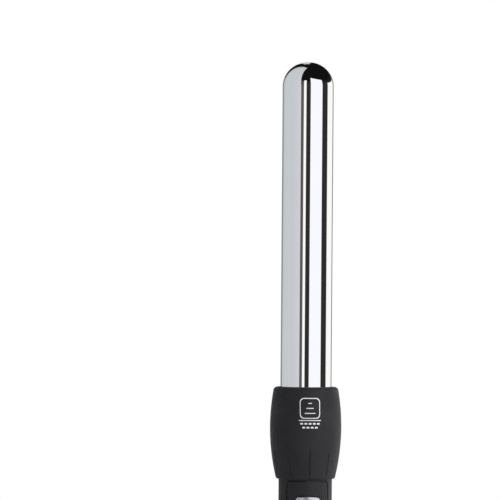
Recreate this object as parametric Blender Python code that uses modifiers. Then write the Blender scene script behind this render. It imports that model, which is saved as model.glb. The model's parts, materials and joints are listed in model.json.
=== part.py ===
"""Curling wand with a twist-lock barrel, built as separate pieces around one vertical axis.

The wand stands on its end cap: +Z runs up the axis to the tip, -Y is the front with the control panel,
and the origin is the centre of the end cap's flat foot. Lengths are metres, written as millimetres * MM.
"""

import math

import bmesh
import bpy
from mathutils import Matrix, Vector

MM = 0.001

# Gaps between neighbours
GAP = 0.3 * MM                      # between pieces that sit together
RUNNING = 0.35 * MM                 # between pieces that turn in each other

# Facets round each kind of turned piece
LARGE_STEPS = 40
MEDIUM_STEPS = 24
SMALL_STEPS = 12

# Heights on the axis, from the foot to the tip
COLLAR_FOOT_Z = 140.4 * MM
COLLAR_HEIGHT = 45.7 * MM
BARREL_EXPOSED = 161.2 * MM
COLLAR_TOP_Z = COLLAR_FOOT_Z + COLLAR_HEIGHT
TIP_Z = COLLAR_TOP_Z + BARREL_EXPOSED

# Barrel
BARREL_RADIUS = 12.7 * MM
BARREL_WALL = 1.2 * MM
DOME_HEIGHT = 12.0 * MM
BARREL_FOOT_Z = 168.6 * MM

# Collar: its side is an arc of a large circle, widest near the middle
COLLAR_RADIUS = 17.75 * MM
COLLAR_BELT_Z = 166.2 * MM
COLLAR_CROWN = 105.0 * MM           # radius of that arc
COLLAR_FOOT_ROUND = 1.3 * MM
COLLAR_TOP_ROUND = 2.2 * MM
SLEEVE_WALL = 1.2 * MM
SLEEVE_LIP = 1.2 * MM
SLEEVE_TOP_LIP = 1.6 * MM
GRIP_GROOVES = 10
GROOVE_WIDTH = 0.7 * MM
GROOVE_DEPTH = 0.45 * MM
GROOVE_FOOT_Z = 141.9 * MM
GROOVE_TOP_Z = 156.2 * MM
CARRIER_WALL = 1.4 * MM             # rigid bell inside the sleeve
CARRIER_FLANGE_Z = 166.3 * MM
CARRIER_FLANGE = 2.0 * MM

# Handle shells
NECK_RADIUS = 11.6 * MM             # the part inside the collar
NECK_BORE = 9.6 * MM
NECK_TOP_Z = 161.0 * MM
SHOULDER_Z = 141.2 * MM
HANDLE_TOP_RADIUS = 13.27 * MM
HANDLE_PALM_RADIUS = 15.0 * MM
HANDLE_FOOT_RADIUS = 14.0 * MM
STRAIGHT_FROM_Z = 125.0 * MM
PALM_Z = 62.0 * MM
SHELL_FOOT_Z = 12.3 * MM
SHELL_WALL = 2.5 * MM
SEAT_LEDGE_RADIUS = 8.5 * MM        # ledge that carries the contact block

# Twist lock
LUGS = 3
LUG_RADIUS = 9.25 * MM
LUG_HALF_ANGLE = math.radians(16)
LUG_FOOT_Z = 154.0 * MM
LUG_TOP_Z = 156.6 * MM
UNLOCK_ANGLE = math.radians(35)
LOCK_RING_Z = (157.2 * MM, 159.5 * MM)
LOCK_RING_RADII = (8.25 * MM, 10.2 * MM)
NOTCH_HALF_ANGLE = math.radians(18)
STOP_MARGIN = math.radians(3)

# Barrel base: the plug that enters the neck, and the flange that carries the barrel
PLUG_RADIUS = 7.9 * MM
PLUG_FOOT_Z = 150.2 * MM
PLUG_FLOOR = 3.0 * MM
PLUG_CAVITY = 6.2 * MM
BASE_FLANGE_RADIUS = 13.1 * MM
BASE_FLANGE_Z = (162.0 * MM, 166.0 * MM)
BASE_SPIGOT_RADIUS = 7.5 * MM
BASE_TOP_Z = 170.0 * MM
FOOT_RING_Z = (168.6 * MM, 172.2 * MM)
INSULATOR_Z = (172.6 * MM, 175.6 * MM)
INSULATOR_HOLE = 6.6 * MM
COLLAR_SCREWS = 3
SCREW_CIRCLE = 9.8 * MM
SCREW_HEAD = 1.5 * MM
SCREW_SHANK = 0.8 * MM
SCREW_HOLE = 1.1 * MM
COUNTERBORE = 1.8 * MM

# Contacts between barrel and handle
CONTACTS = 4
CONTACT_CIRCLE = 4.6 * MM
FIRST_CONTACT = math.radians(45)
PIN_RADIUS = 0.9 * MM
PIN_Z = (143.5 * MM, 157.0 * MM)
BLOCK_RADIUS = 9.3 * MM
BLOCK_Z = (140.0 * MM, 149.6 * MM)
SLOT_FLOOR_Z = 142.0 * MM
SLOT_HALF_WIDTH = 1.3 * MM
SLOT_RUN = math.radians(2)          # spare angle at each end of a slot
BLADE_HALF_WIDTH = 0.9 * MM
BLADE_THICK = 0.8 * MM

# Heater stack inside the barrel
SPREADER_RADIUS = 11.1 * MM
SPREADER_FLAT = 1.6 * MM
SPREADER_SIDE = 2.6 * MM            # web behind the flat
SPREADER_CORE = 7.8 * MM
SPREADER_Z = (178.0 * MM, 330.0 * MM)
HEATER_SIZE = (14.0 * MM, 2.2 * MM)
HEATER_Z = (190.0 * MM, 300.0 * MM)
SENSOR_RADIUS = 1.0 * MM
SENSOR_Z = (246.0 * MM, 254.0 * MM)
SENSOR_Y = -5.8 * MM

# Control panel, a curved plate let into the front of the handle
PANEL_WIDTH = 19.75 * MM
PANEL_Z = (76.0 * MM, 139.4 * MM)
PANEL_CORNER = 1.9 * MM
PANEL_THICK = 1.2 * MM
WINDOW_WIDTH = 16.2 * MM
WINDOW_MARGIN = 2.6 * MM
BEZEL_SIZE = (12.2 * MM, 22.0 * MM)
BEZEL_TOP_Z = 131.95 * MM
BEZEL_CORNER = 1.6 * MM
BEZEL_ARCH = 0.2 * MM              # rise of the frame's top edge
BEZEL_RIM = 1.6 * MM
BEZEL_PROUD = 0.45 * MM
BEZEL_DEPTH = 1.9 * MM
LENS_THICK = 1.0 * MM
LENS_CORNER = 0.8 * MM
LCD_SIZE = (10.6 * MM, 4.3 * MM, 19.6 * MM)

# Buttons: name, height on the axis and radius
BUTTONS = (
    ("plus", 103.5 * MM, 3.1 * MM),
    ("minus", 94.5 * MM, 3.1 * MM),
    ("power", 84.0 * MM, 3.5 * MM),
)
BUTTON_PROUD = 0.7 * MM
BUTTON_DOME = 0.35 * MM
BUTTON_FLANGE = 0.85 * MM
BUTTON_FLANGE_THICK = 0.8 * MM
BUTTON_STEM = 1.5 * MM
BUTTON_TRAVEL_ROOM = 0.8 * MM

# Circuit board and what it carries
BOARD_WIDTH = 17.0 * MM
BOARD_Z = (34.0 * MM, 134.0 * MM)
BOARD_FRONT_Y = -5.0 * MM
BOARD_THICK = 1.6 * MM
BOARD_REAR_Y = BOARD_FRONT_Y + BOARD_THICK
BOARD_CORNER = 1.5 * MM
SWITCH_SIDE = 6.0 * MM
SWITCH_HEIGHT = 3.5 * MM
PLUNGER_RADIUS = 1.7 * MM
PLUNGER_HEIGHT = 0.5 * MM

# Screws that close the shells
SHELL_SCREW_Z = (30.0 * MM, 70.0 * MM)
FRONT_BOSS = 2.2 * MM
REAR_BOSS = 2.8 * MM
SHELL_SCREW_SEAT_Y = 4.0 * MM
SHELL_SCREW_TIP_Y = -7.0 * MM
BOARD_HOLE = 2.6 * MM

# End cap and cord swivel
CAP_FOOT_RADIUS = 12.4 * MM
CAP_SHOULDER_Z = 12.0 * MM
CAP_SPIGOT_Z = 18.0 * MM
CAP_SPIGOT_RADIUS = 12.2 * MM
CAP_BORE = 10.9 * MM
CAP_MOUTH = 9.7 * MM
CAP_LEDGE_Z = 6.2 * MM
CAP_ROUND = 1.5 * MM
GLAND_FOOT_Z = 0.6 * MM
GLAND_NOSE = CAP_MOUTH - RUNNING
GLAND_FLANGE = 10.5 * MM
GLAND_FLANGE_Z = (CAP_LEDGE_Z + GAP, 8.5 * MM)
GLAND_STEM = 6.0 * MM
GLAND_TOP_Z = 16.0 * MM
CORD_BORE = 3.8 * MM
CORD_BORE_TOP_Z = 13.5 * MM
RETAINER_Z = (8.8 * MM, 12.0 * MM)
SLIP_RING_RADII = (4.2 * MM, 5.6 * MM)
SLIP_RING_Z = (16.3 * MM, 17.5 * MM)
BRUSH_HOLDER_Z = (22.0 * MM, 25.0 * MM)
BRUSH_HOLDER_RADIUS = 11.1 * MM

# Colour, roughness and metallic value of each material
MATERIALS = {
    "chrome": ((0.82, 0.83, 0.85), 0.05, 1.0),
    "soft_rubber": ((0.022, 0.022, 0.024), 0.55, 0.0),
    "handle_plastic": ((0.026, 0.026, 0.029), 0.42, 0.0),
    "panel_plastic": ((0.03, 0.03, 0.034), 0.38, 0.0),
    "satin_silver": ((0.72, 0.73, 0.75), 0.28, 1.0),
    "smoked_lens": ((0.08, 0.09, 0.1), 0.08, 0.0),
    "lcd": ((0.28, 0.32, 0.3), 0.3, 0.0),
    "heatproof_plastic": ((0.11, 0.1, 0.09), 0.5, 0.0),
    "ceramic": ((0.85, 0.83, 0.78), 0.45, 0.0),
    "aluminium": ((0.7, 0.71, 0.73), 0.35, 1.0),
    "steel": ((0.55, 0.55, 0.57), 0.3, 1.0),
    "brass": ((0.78, 0.6, 0.28), 0.25, 1.0),
    "board_green": ((0.03, 0.2, 0.09), 0.4, 0.0),
    "component_black": ((0.03, 0.03, 0.03), 0.4, 0.0),
    "capacitor_yellow": ((0.75, 0.55, 0.08), 0.4, 0.0),
    "lead_red": ((0.55, 0.05, 0.04), 0.5, 0.0),
    "lead_white": ((0.8, 0.8, 0.78), 0.5, 0.0),
    "lead_blue": ((0.05, 0.12, 0.45), 0.5, 0.0),
}


# ---------------------------------------------------------------- scene

def clear_scene():
    for obj in list(bpy.data.objects):
        bpy.data.objects.remove(obj, do_unlink=True)


def new_collection(name):
    collection = bpy.data.collections.new(name)
    bpy.context.scene.collection.children.link(collection)
    return collection


def make_materials():
    for name, (colour, roughness, metallic) in MATERIALS.items():
        material = bpy.data.materials.new(name)
        material.use_nodes = True
        shader = material.node_tree.nodes["Principled BSDF"]
        shader.inputs["Base Color"].default_value = (*colour, 1.0)
        shader.inputs["Roughness"].default_value = roughness
        shader.inputs["Metallic"].default_value = metallic


clear_scene()
WAND = new_collection("curling_wand")
CUTTERS = new_collection("cutters")
make_materials()


# ---------------------------------------------------------------- modelling tools

def add_object(name, mesh, material=None):
    """A piece of the wand, or a hidden cutter where no material is given."""
    obj = bpy.data.objects.new(name, mesh)
    if material is None:
        CUTTERS.objects.link(obj)
        obj.hide_render = True
        obj.display_type = "WIRE"
    else:
        WAND.objects.link(obj)
        obj.data.materials.append(bpy.data.materials[material])
    return obj


def turned(name, profile, material=None, steps=LARGE_STEPS):
    """Turns (radius, height) points about Z. They run down the outer side and up the inner one."""
    mesh = bpy.data.meshes.new(name)
    shape = bmesh.new()
    corners = [shape.verts.new((radius, 0.0, height)) for radius, height in profile]
    pairs = list(zip(corners, corners[1:]))
    on_axis = profile[0][0] == 0.0 and profile[-1][0] == 0.0
    if not on_axis:
        pairs.append((corners[-1], corners[0]))
    for start, end in pairs:
        shape.edges.new((start, end))
    shape.to_mesh(mesh)
    shape.free()
    obj = add_object(name, mesh, material)
    screw = obj.modifiers.new("Turn", "SCREW")
    screw.axis = "Z"
    screw.steps = steps
    screw.render_steps = steps
    screw.use_merge_vertices = True
    screw.merge_threshold = 0.00001
    screw.use_smooth_shade = True
    return obj


def disc_profile(radius, low, high):
    return [(0.0, high), (radius, high), (radius, low), (0.0, low)]


def ring_profile(inner, outer, low, high):
    return [(outer, high), (outer, low), (inner, low), (inner, high)]


def arc_points(centre, radius, start, end, count):
    """Points on an arc, as (x, y) pairs, from angle start to angle end."""
    angles = [start + (end - start) * i / (count - 1) for i in range(count)]
    return [(centre[0] + radius * math.cos(a), centre[1] + radius * math.sin(a)) for a in angles]


def rounded_rectangle(width, low, high, corner, per_corner=4):
    """Outline, anticlockwise, of a rectangle centred on x = 0 from y = low to y = high."""
    x, points = width / 2 - corner, []
    quarter = math.pi / 2
    for i, (cx, cy) in enumerate(((x, low + corner), (x, high - corner), (-x, high - corner), (-x, low + corner))):
        points += arc_points((cx, cy), corner, (i - 1) * quarter, i * quarter, per_corner)
    return points


def arched_plate(width, low, high, corner, rise, per_corner=4):
    """A rounded rectangle whose top edge is a low arch that ends at y = high."""
    outline = rounded_rectangle(width, low, high - rise, corner, per_corner)
    half_chord = width / 2 - corner
    radius = (half_chord**2 + rise**2) / (2 * rise)
    spread = math.asin(half_chord / radius)
    middle = math.pi / 2
    crown = arc_points((0.0, high - radius), radius, middle - spread, middle + spread, 7)[1:-1]
    upper_right_done = 2 * per_corner
    return outline[:upper_right_done] + crown + outline[upper_right_done:]


def circle_outline(centre, radius, count=SMALL_STEPS):
    return arc_points(centre, radius, 0.0, 2 * math.pi * (1 - 1 / count), count)


def sector_outline(inner, outer, start, end, count=6):
    """Outline of a piece of a ring between two angles."""
    return arc_points((0, 0), outer, start, end, count) + arc_points((0, 0), inner, end, start, count)


def slot_outline(radius, half_width, start, end, count=7):
    """Outline of a curved slot with round ends, on a circle of that radius."""
    points = arc_points((0, 0), radius + half_width, start, end, count)
    cap = (radius * math.cos(end), radius * math.sin(end))
    points += arc_points(cap, half_width, end, end + math.pi, 5)[1:-1]
    points += arc_points((0, 0), radius - half_width, end, start, count)
    cap = (radius * math.cos(start), radius * math.sin(start))
    points += arc_points(cap, half_width, start + math.pi, start + 2 * math.pi, 5)[1:-1]
    return points


def to_mesh_object(curve_obj, material):
    """The curve as a mesh with welded caps, in the same place. The curve is removed."""
    bpy.context.view_layer.update()
    name, matrix = curve_obj.name, curve_obj.matrix_world.copy()
    graph = bpy.context.evaluated_depsgraph_get()
    mesh = bpy.data.meshes.new_from_object(curve_obj.evaluated_get(graph))
    curve_obj.name = name + "_outline"
    bpy.data.objects.remove(curve_obj, do_unlink=True)
    shape = bmesh.new()
    shape.from_mesh(mesh)
    bmesh.ops.remove_doubles(shape, verts=shape.verts, dist=0.000001)
    shape.transform(matrix)
    shape.to_mesh(mesh)
    shape.free()
    mesh.materials.clear()
    return add_object(name, mesh, material)


def prism(name, outlines, low, high, material=None, along="Z"):
    """A flat outline, with further outlines as holes, given thickness along Z or, in the XZ plane, along Y."""
    curve = bpy.data.curves.new(name, "CURVE")
    curve.dimensions = "2D"
    curve.fill_mode = "BOTH"
    curve.extrude = (high - low) / 2
    for outline in outlines:
        spline = curve.splines.new("POLY")
        spline.points.add(len(outline) - 1)
        for point, (x, y) in zip(spline.points, outline):
            point.co = (x, y, 0.0, 1.0)
        spline.use_cyclic_u = True
    obj = bpy.data.objects.new(name, curve)
    WAND.objects.link(obj)
    middle = (low + high) / 2
    if along == "Z":
        obj.location = (0.0, 0.0, middle)
    else:
        obj.rotation_euler = (math.pi / 2, 0.0, 0.0)
        obj.location = (0.0, middle, 0.0)
    return to_mesh_object(obj, material)


def block(name, size, centre, material=None):
    mesh = bpy.data.meshes.new(name)
    shape = bmesh.new()
    bmesh.ops.create_cube(shape, size=1.0)
    bmesh.ops.scale(shape, vec=size, verts=shape.verts)
    bmesh.ops.translate(shape, vec=centre, verts=shape.verts)
    shape.to_mesh(mesh)
    shape.free()
    return add_object(name, mesh, material)


def rod(name, start, end, radius, material=None, steps=SMALL_STEPS, end_radius=None):
    """A round bar, or a cone where the end has its own radius, between two points."""
    start, end = Vector(start), Vector(end)
    run = end - start
    mesh = bpy.data.meshes.new(name)
    shape = bmesh.new()
    bmesh.ops.create_cone(
        shape,
        cap_ends=True,
        segments=steps,
        radius1=radius,
        radius2=radius if end_radius is None else end_radius,
        depth=run.length,
    )
    turn = run.to_track_quat("Z", "Y").to_matrix().to_4x4()
    shape.transform(Matrix.Translation((start + end) / 2) @ turn)
    shape.to_mesh(mesh)
    shape.free()
    return add_object(name, mesh, material)


def on_circle(radius, angle, height):
    return (radius * math.cos(angle), radius * math.sin(angle), height)


def smooth_route(points, per_span=3):
    """Points of a Catmull-Rom curve through the given ones."""
    route = [Vector(p) for p in points]
    ends = [2 * route[0] - route[1], *route, 2 * route[-1] - route[-2]]
    found = []
    for a, b, c, d in zip(ends, ends[1:], ends[2:], ends[3:]):
        for i in range(per_span):
            t = i / per_span
            found.append(
                0.5 * (2 * b + (c - a) * t + (2 * a - 5 * b + 4 * c - d) * t**2 + (3 * b - a - 3 * c + d) * t**3)
            )
    return [*found, route[-1]]


def lead(name, points, radius, material):
    """An insulated wire as a curve with a round bevel and closed ends."""
    curve = bpy.data.curves.new(name, "CURVE")
    curve.dimensions = "3D"
    curve.bevel_depth = radius
    curve.bevel_resolution = 2
    curve.use_fill_caps = True
    spline = curve.splines.new("POLY")
    route = smooth_route(points)
    spline.points.add(len(route) - 1)
    for point, place in zip(spline.points, route):
        point.co = (*place, 1.0)
    obj = bpy.data.objects.new(name, curve)
    WAND.objects.link(obj)
    curve.materials.append(bpy.data.materials[material])
    return obj


def combine(obj, other, operation):
    modifier = obj.modifiers.new(operation.title(), "BOOLEAN")
    modifier.operation = operation
    modifier.object = other
    modifier.solver = "EXACT"
    return obj


def cut(obj, *cutters):
    for cutter in cutters:
        combine(obj, cutter, "DIFFERENCE")
    return obj


def join(obj, *others):
    for other in others:
        combine(obj, other, "UNION")
    return obj


# ---------------------------------------------------------------- shapes that several pieces share

def ease(share):
    return (1 - math.cos(math.pi * min(max(share, 0.0), 1.0))) / 2


def handle_radius(z):
    """Outer radius of the handle: straight under the collar, a low swell at the palm, slimmer at the foot."""
    if z >= PALM_Z:
        swell = ease((STRAIGHT_FROM_Z - z) / (STRAIGHT_FROM_Z - PALM_Z))
        return HANDLE_TOP_RADIUS + (HANDLE_PALM_RADIUS - HANDLE_TOP_RADIUS) * swell
    fall = ease((PALM_Z - z) / (PALM_Z - CAP_SHOULDER_Z))
    return HANDLE_PALM_RADIUS + (HANDLE_FOOT_RADIUS - HANDLE_PALM_RADIUS) * fall


def collar_radius(z):
    return COLLAR_RADIUS - (z - COLLAR_BELT_Z) ** 2 / (2 * COLLAR_CROWN)


def heights(top, bottom, count):
    return [top + (bottom - top) * i / (count - 1) for i in range(count)]


def handle_skin(name, outside, inside, low, high, material=None):
    """A shell that follows the handle's surface between two offsets from it."""
    levels = heights(high, low, 6)
    outer = [(handle_radius(z) + outside, z) for z in levels]
    inner = [(handle_radius(z) + inside, z) for z in reversed(levels)]
    return turned(name, outer + inner, material)


def front_prism(name, outlines):
    """A cutter in the XZ plane that reaches from the axis to well past the front of the handle."""
    return prism(name, outlines, -2 * HANDLE_PALM_RADIUS, BOARD_FRONT_Y, along="Y")


def handle_patch(name, outside, inside, outlines, low, high, material):
    """A curved plate flush with the handle's front, with the given outline."""
    margin = 2 * MM
    plate = handle_skin(name, outside, inside, low - margin, high + margin, material)
    return combine(plate, front_prism(name + "_outline_cutter", outlines), "INTERSECT")


# ---------------------------------------------------------------- barrel unit

def dome(radius, height, foot_z, count=8):
    """Quarter ellipse from the axis down to the side of the barrel."""
    quarter = math.pi / 2
    angles = [quarter * (1 - i / (count - 1)) for i in range(count)]
    points = [(radius * math.cos(a), foot_z + height * math.sin(a)) for a in angles]
    points[0] = (0.0, foot_z + height)
    return points


def barrel_tube():
    dome_foot = TIP_Z - DOME_HEIGHT
    outer = dome(BARREL_RADIUS, DOME_HEIGHT, dome_foot)
    inner = dome(BARREL_RADIUS - BARREL_WALL, DOME_HEIGHT - BARREL_WALL, dome_foot)
    side = [(BARREL_RADIUS, BARREL_FOOT_Z), (BARREL_RADIUS - BARREL_WALL, BARREL_FOOT_Z)]
    return turned("barrel_tube", outer + side + inner[::-1], "chrome")


def collar_sleeve():
    """Soft outer skin of the collar, hooked over the rigid bell at both ends."""
    foot_rim = HANDLE_TOP_RADIUS + RUNNING
    lip_z = COLLAR_FOOT_Z + SLEEVE_LIP
    mouth = BARREL_RADIUS + RUNNING
    top_turn = COLLAR_TOP_Z - COLLAR_TOP_ROUND
    foot_turn = COLLAR_FOOT_Z + COLLAR_FOOT_ROUND
    top_edge = arc_points(
        (collar_radius(top_turn) - COLLAR_TOP_ROUND, top_turn), COLLAR_TOP_ROUND, math.pi / 2, 0.0, 4
    )
    side = [(collar_radius(z), z) for z in heights(top_turn, foot_turn, 9)[1:-1]]
    foot_edge = arc_points(
        (collar_radius(foot_turn) - COLLAR_FOOT_ROUND, foot_turn), COLLAR_FOOT_ROUND, 0.0, -math.pi / 2, 4
    )
    top_lip_z = COLLAR_TOP_Z - SLEEVE_TOP_LIP
    inside_levels = heights(lip_z + SLEEVE_LIP, top_lip_z - COLLAR_TOP_ROUND / 2, 6)
    inside = [(collar_radius(z) - SLEEVE_WALL, z) for z in inside_levels]
    lip_radius = NECK_RADIUS + RUNNING + GAP
    profile = [(mouth, COLLAR_TOP_Z), *top_edge, *side, *foot_edge]
    profile += [(foot_rim, COLLAR_FOOT_Z), (foot_rim, lip_z), (lip_radius, lip_z), (lip_radius, lip_z + SLEEVE_LIP)]
    profile += [*inside, (inside[-1][0] - COLLAR_TOP_ROUND / 2, top_lip_z), (mouth, top_lip_z)]
    sleeve = turned("collar_sleeve", profile, "soft_rubber")
    return cut(sleeve, *[grip_groove(i) for i in range(GRIP_GROOVES)])


def grip_groove(index):
    """Cutter for one groove: a thin bar that follows the collar's side and runs out at its top."""
    front = -math.pi / 2
    angle = front + 2 * math.pi * index / GRIP_GROOVES
    foot = on_circle(collar_radius(GROOVE_FOOT_Z) - GROOVE_DEPTH, angle, GROOVE_FOOT_Z)
    top = on_circle(collar_radius(GROOVE_TOP_Z) + GROOVE_WIDTH / 4, angle, GROOVE_TOP_Z)
    run = Vector(top) - Vector(foot)
    reach = 2 * MM
    bar = block(f"groove_cutter_{index + 1}", (GROOVE_WIDTH, reach, run.length), (0.0, -reach / 2, 0.0))
    lean = math.atan2(math.hypot(top[0], top[1]) - math.hypot(foot[0], foot[1]), GROOVE_TOP_Z - GROOVE_FOOT_Z)
    bar.rotation_mode = "XYZ"
    bar.rotation_euler = (lean, 0.0, angle - front)
    bar.location = (Vector(foot) + Vector(top)) / 2
    return bar


def collar_carrier():
    """Rigid bell under the sleeve, with the inner flange that the barrel stands on."""
    offset = SLEEVE_WALL + GAP
    foot_z = COLLAR_FOOT_Z + 2 * SLEEVE_LIP + GAP
    top_z = COLLAR_TOP_Z - SLEEVE_TOP_LIP - COLLAR_TOP_ROUND / 2 - GAP
    flange_top = CARRIER_FLANGE_Z + CARRIER_FLANGE
    bore = BASE_SPIGOT_RADIUS + GAP
    outer = [(collar_radius(z) - offset, z) for z in heights(top_z, foot_z, 6)]
    low_wall = heights(foot_z, CARRIER_FLANGE_Z, 4)
    high_wall = heights(flange_top, top_z, 3)
    inner = [(collar_radius(z) - offset - CARRIER_WALL, z) for z in low_wall]
    inner += [(bore, CARRIER_FLANGE_Z), (bore, flange_top)]
    inner += [(collar_radius(z) - offset - CARRIER_WALL, z) for z in high_wall]
    carrier = turned("collar_carrier", outer + inner, "heatproof_plastic", MEDIUM_STEPS)
    return cut(carrier, *screw_holes("carrier", CARRIER_FLANGE_Z, flange_top, SCREW_HOLE))


def screw_angles():
    return [2 * math.pi * i / COLLAR_SCREWS + math.pi / 6 for i in range(COLLAR_SCREWS)]


def screw_holes(name, low, high, radius):
    """Cutters for the collar screws, a little longer than the wall."""
    past = 0.5 * MM
    return [
        rod(
            f"{name}_hole_cutter_{i + 1}",
            on_circle(SCREW_CIRCLE, angle, low - past),
            on_circle(SCREW_CIRCLE, angle, high + past),
            radius,
        )
        for i, angle in enumerate(screw_angles())
    ]


def lug_angles():
    return [2 * math.pi * i / LUGS for i in range(LUGS)]


def contact_angles():
    return [FIRST_CONTACT + 2 * math.pi * i / CONTACTS for i in range(CONTACTS)]


def barrel_base():
    """Plug with three lock lugs, and the flange that the collar and the barrel are screwed to."""
    floor_top = PLUG_FOOT_Z + PLUG_FLOOR
    profile = [
        (0.0, floor_top),
        (PLUG_CAVITY, floor_top),
        (PLUG_CAVITY, BASE_TOP_Z),
        (BASE_SPIGOT_RADIUS, BASE_TOP_Z),
        (BASE_SPIGOT_RADIUS, BASE_FLANGE_Z[1]),
        (BASE_FLANGE_RADIUS, BASE_FLANGE_Z[1]),
        (BASE_FLANGE_RADIUS, BASE_FLANGE_Z[0]),
        (PLUG_RADIUS, BASE_FLANGE_Z[0]),
        (PLUG_RADIUS, PLUG_FOOT_Z),
        (0.0, PLUG_FOOT_Z),
    ]
    base = turned("barrel_base", profile, "heatproof_plastic", MEDIUM_STEPS)
    root = PLUG_CAVITY + GAP
    for i, angle in enumerate(lug_angles()):
        outline = sector_outline(root, LUG_RADIUS, angle - LUG_HALF_ANGLE, angle + LUG_HALF_ANGLE)
        join(base, prism(f"lug_{i + 1}_shape", [outline], LUG_FOOT_Z, LUG_TOP_Z))
    past = 0.5 * MM
    for i, angle in enumerate(contact_angles()):
        low = on_circle(CONTACT_CIRCLE, angle, PLUG_FOOT_Z - past)
        high = on_circle(CONTACT_CIRCLE, angle, floor_top + past)
        cut(base, rod(f"pin_hole_cutter_{i + 1}", low, high, PIN_RADIUS + GAP))
    cut(base, *screw_holes("base", *BASE_FLANGE_Z, SCREW_HOLE))
    return cut(base, *screw_holes("counterbore", BASE_FLANGE_Z[0], counterbore_top() - past, COUNTERBORE))


def counterbore_top():
    return sum(BASE_FLANGE_Z) / 2


def collar_screws():
    """Three screws that hold base, carrier and barrel foot together, heads down."""
    head_top = counterbore_top() - GAP
    for i, angle in enumerate(screw_angles()):
        tip = on_circle(SCREW_CIRCLE, angle, FOOT_RING_Z[1] - 2 * GAP)
        head_foot = on_circle(SCREW_CIRCLE, angle, BASE_FLANGE_Z[0] + GAP)
        under_head = on_circle(SCREW_CIRCLE, angle, head_top)
        inside_head = on_circle(SCREW_CIRCLE, angle, head_top - GAP)
        screw = rod(f"collar_screw_{i + 1}", head_foot, under_head, SCREW_HEAD, "steel")
        join(screw, rod(f"collar_screw_shank_{i + 1}", inside_head, tip, SCREW_SHANK))


def barrel_foot():
    """Steel ring fixed inside the barrel's lower end, drilled for the collar screws."""
    inside = BARREL_RADIUS - BARREL_WALL - GAP
    section = ring_profile(BASE_SPIGOT_RADIUS + GAP, inside, *FOOT_RING_Z)
    ring = turned("barrel_foot_ring", section, "steel", MEDIUM_STEPS)
    return cut(ring, *screw_holes("foot", *FOOT_RING_Z, SCREW_HOLE))


def insulator_disc():
    inside = BARREL_RADIUS - BARREL_WALL - GAP
    section = ring_profile(INSULATOR_HOLE, inside, *INSULATOR_Z)
    return turned("insulator_disc", section, "ceramic", MEDIUM_STEPS)


def heat_spreader(side, name):
    """Half-round hollow aluminium bar that carries heat to the tube. side is -1 at the front and 1 at the rear."""
    flat = SPREADER_FLAT
    start = math.asin(flat / SPREADER_RADIUS)
    outer = arc_points((0, 0), SPREADER_RADIUS, start, math.pi - start, 17)
    web = flat + SPREADER_SIDE
    core_start = math.asin(web / SPREADER_CORE)
    core = arc_points((0, 0), SPREADER_CORE, core_start, math.pi - core_start, 9)
    outlines = [[(x, side * y) for x, y in outline] for outline in (outer, core)]
    return prism(name, outlines, *SPREADER_Z, "aluminium")


def heater_stack():
    heat_spreader(-1, "front_heat_spreader")
    heat_spreader(1, "rear_heat_spreader")
    width, thick = HEATER_SIZE
    low, high = HEATER_Z
    block("ceramic_heater", (width, thick, high - low), (0.0, 0.0, (low + high) / 2), "ceramic")
    low, high = SENSOR_Z
    middle = (low + high) / 2
    profile = dome(SENSOR_RADIUS, SENSOR_RADIUS, high - SENSOR_RADIUS, 5)
    profile += [(r, 2 * middle - z) for r, z in reversed(profile)]
    sensor = turned("temperature_sensor", profile, "ceramic", SMALL_STEPS)
    sensor.location.y = SENSOR_Y


def contact_pins():
    for i, angle in enumerate(contact_angles()):
        low, high = (on_circle(CONTACT_CIRCLE, angle, z) for z in PIN_Z)
        rod(f"contact_pin_{i + 1}", low, high, PIN_RADIUS, "brass")


def barrel_leads():
    """Leads from the pins: the rear two feed the heater, the front two the sensor."""
    start_z = PIN_Z[1] + GAP
    heater_x, heater_end = 4.0 * MM, HEATER_Z[0] - GAP
    sensor_x, sensor_end = 0.85 * MM, SENSOR_Z[0] - 2 * GAP
    for i, angle in enumerate(contact_angles()):
        x, y, _ = on_circle(CONTACT_CIRCLE, angle, 0.0)
        start = [(x, y, start_z), (x, y, start_z + 2 * MM)]
        side = math.copysign(1.0, x)
        if y > 0:
            rest = [(side * heater_x, y / 3, 168 * MM), (side * heater_x, 0.0, 176 * MM), (side * heater_x, 0.0, heater_end)]
            lead(f"heater_lead_{i + 1}", start + rest, 0.8 * MM, "lead_white")
        else:
            near = side * sensor_x
            rest = [(near, -4.9 * MM, 169 * MM), (near, -5.5 * MM, 178 * MM), (near, SENSOR_Y, sensor_end)]
            lead(f"sensor_lead_{i - 1}", start + rest, 0.5 * MM, "lead_red")


# ---------------------------------------------------------------- handle

def shell_profile():
    """Section through both shells: neck, shoulder, grip, and the seats inside."""
    levels = heights(SHOULDER_Z, SHELL_FOOT_Z, 10)
    outer = [(handle_radius(z), z) for z in levels]
    cap_seat = CAP_SPIGOT_RADIUS + GAP
    seat_top = CAP_SPIGOT_Z + 2 * GAP
    ledge_top = BLOCK_Z[0] - GAP
    ledge_foot = ledge_top - 2.2 * MM
    inner_levels = heights(seat_top, ledge_foot - 2 * MM, 6)
    inner = [(handle_radius(z) - SHELL_WALL, z) for z in inner_levels]
    ring_low, ring_high = LOCK_RING_Z[0] - GAP, LOCK_RING_Z[1] + GAP
    ring_seat = LOCK_RING_RADII[1] + GAP
    neck = [
        (SEAT_LEDGE_RADIUS, ledge_foot),
        (SEAT_LEDGE_RADIUS, ledge_top),
        (NECK_BORE, ledge_top),
        (NECK_BORE, ring_low),
        (ring_seat, ring_low),
        (ring_seat, ring_high),
        (NECK_BORE, ring_high),
        (NECK_BORE, NECK_TOP_Z),
    ]
    top = [(NECK_RADIUS, NECK_TOP_Z), (NECK_RADIUS, SHOULDER_Z)]
    return top + outer + [(cap_seat, SHELL_FOOT_Z), (cap_seat, seat_top)] + inner + neck


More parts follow.
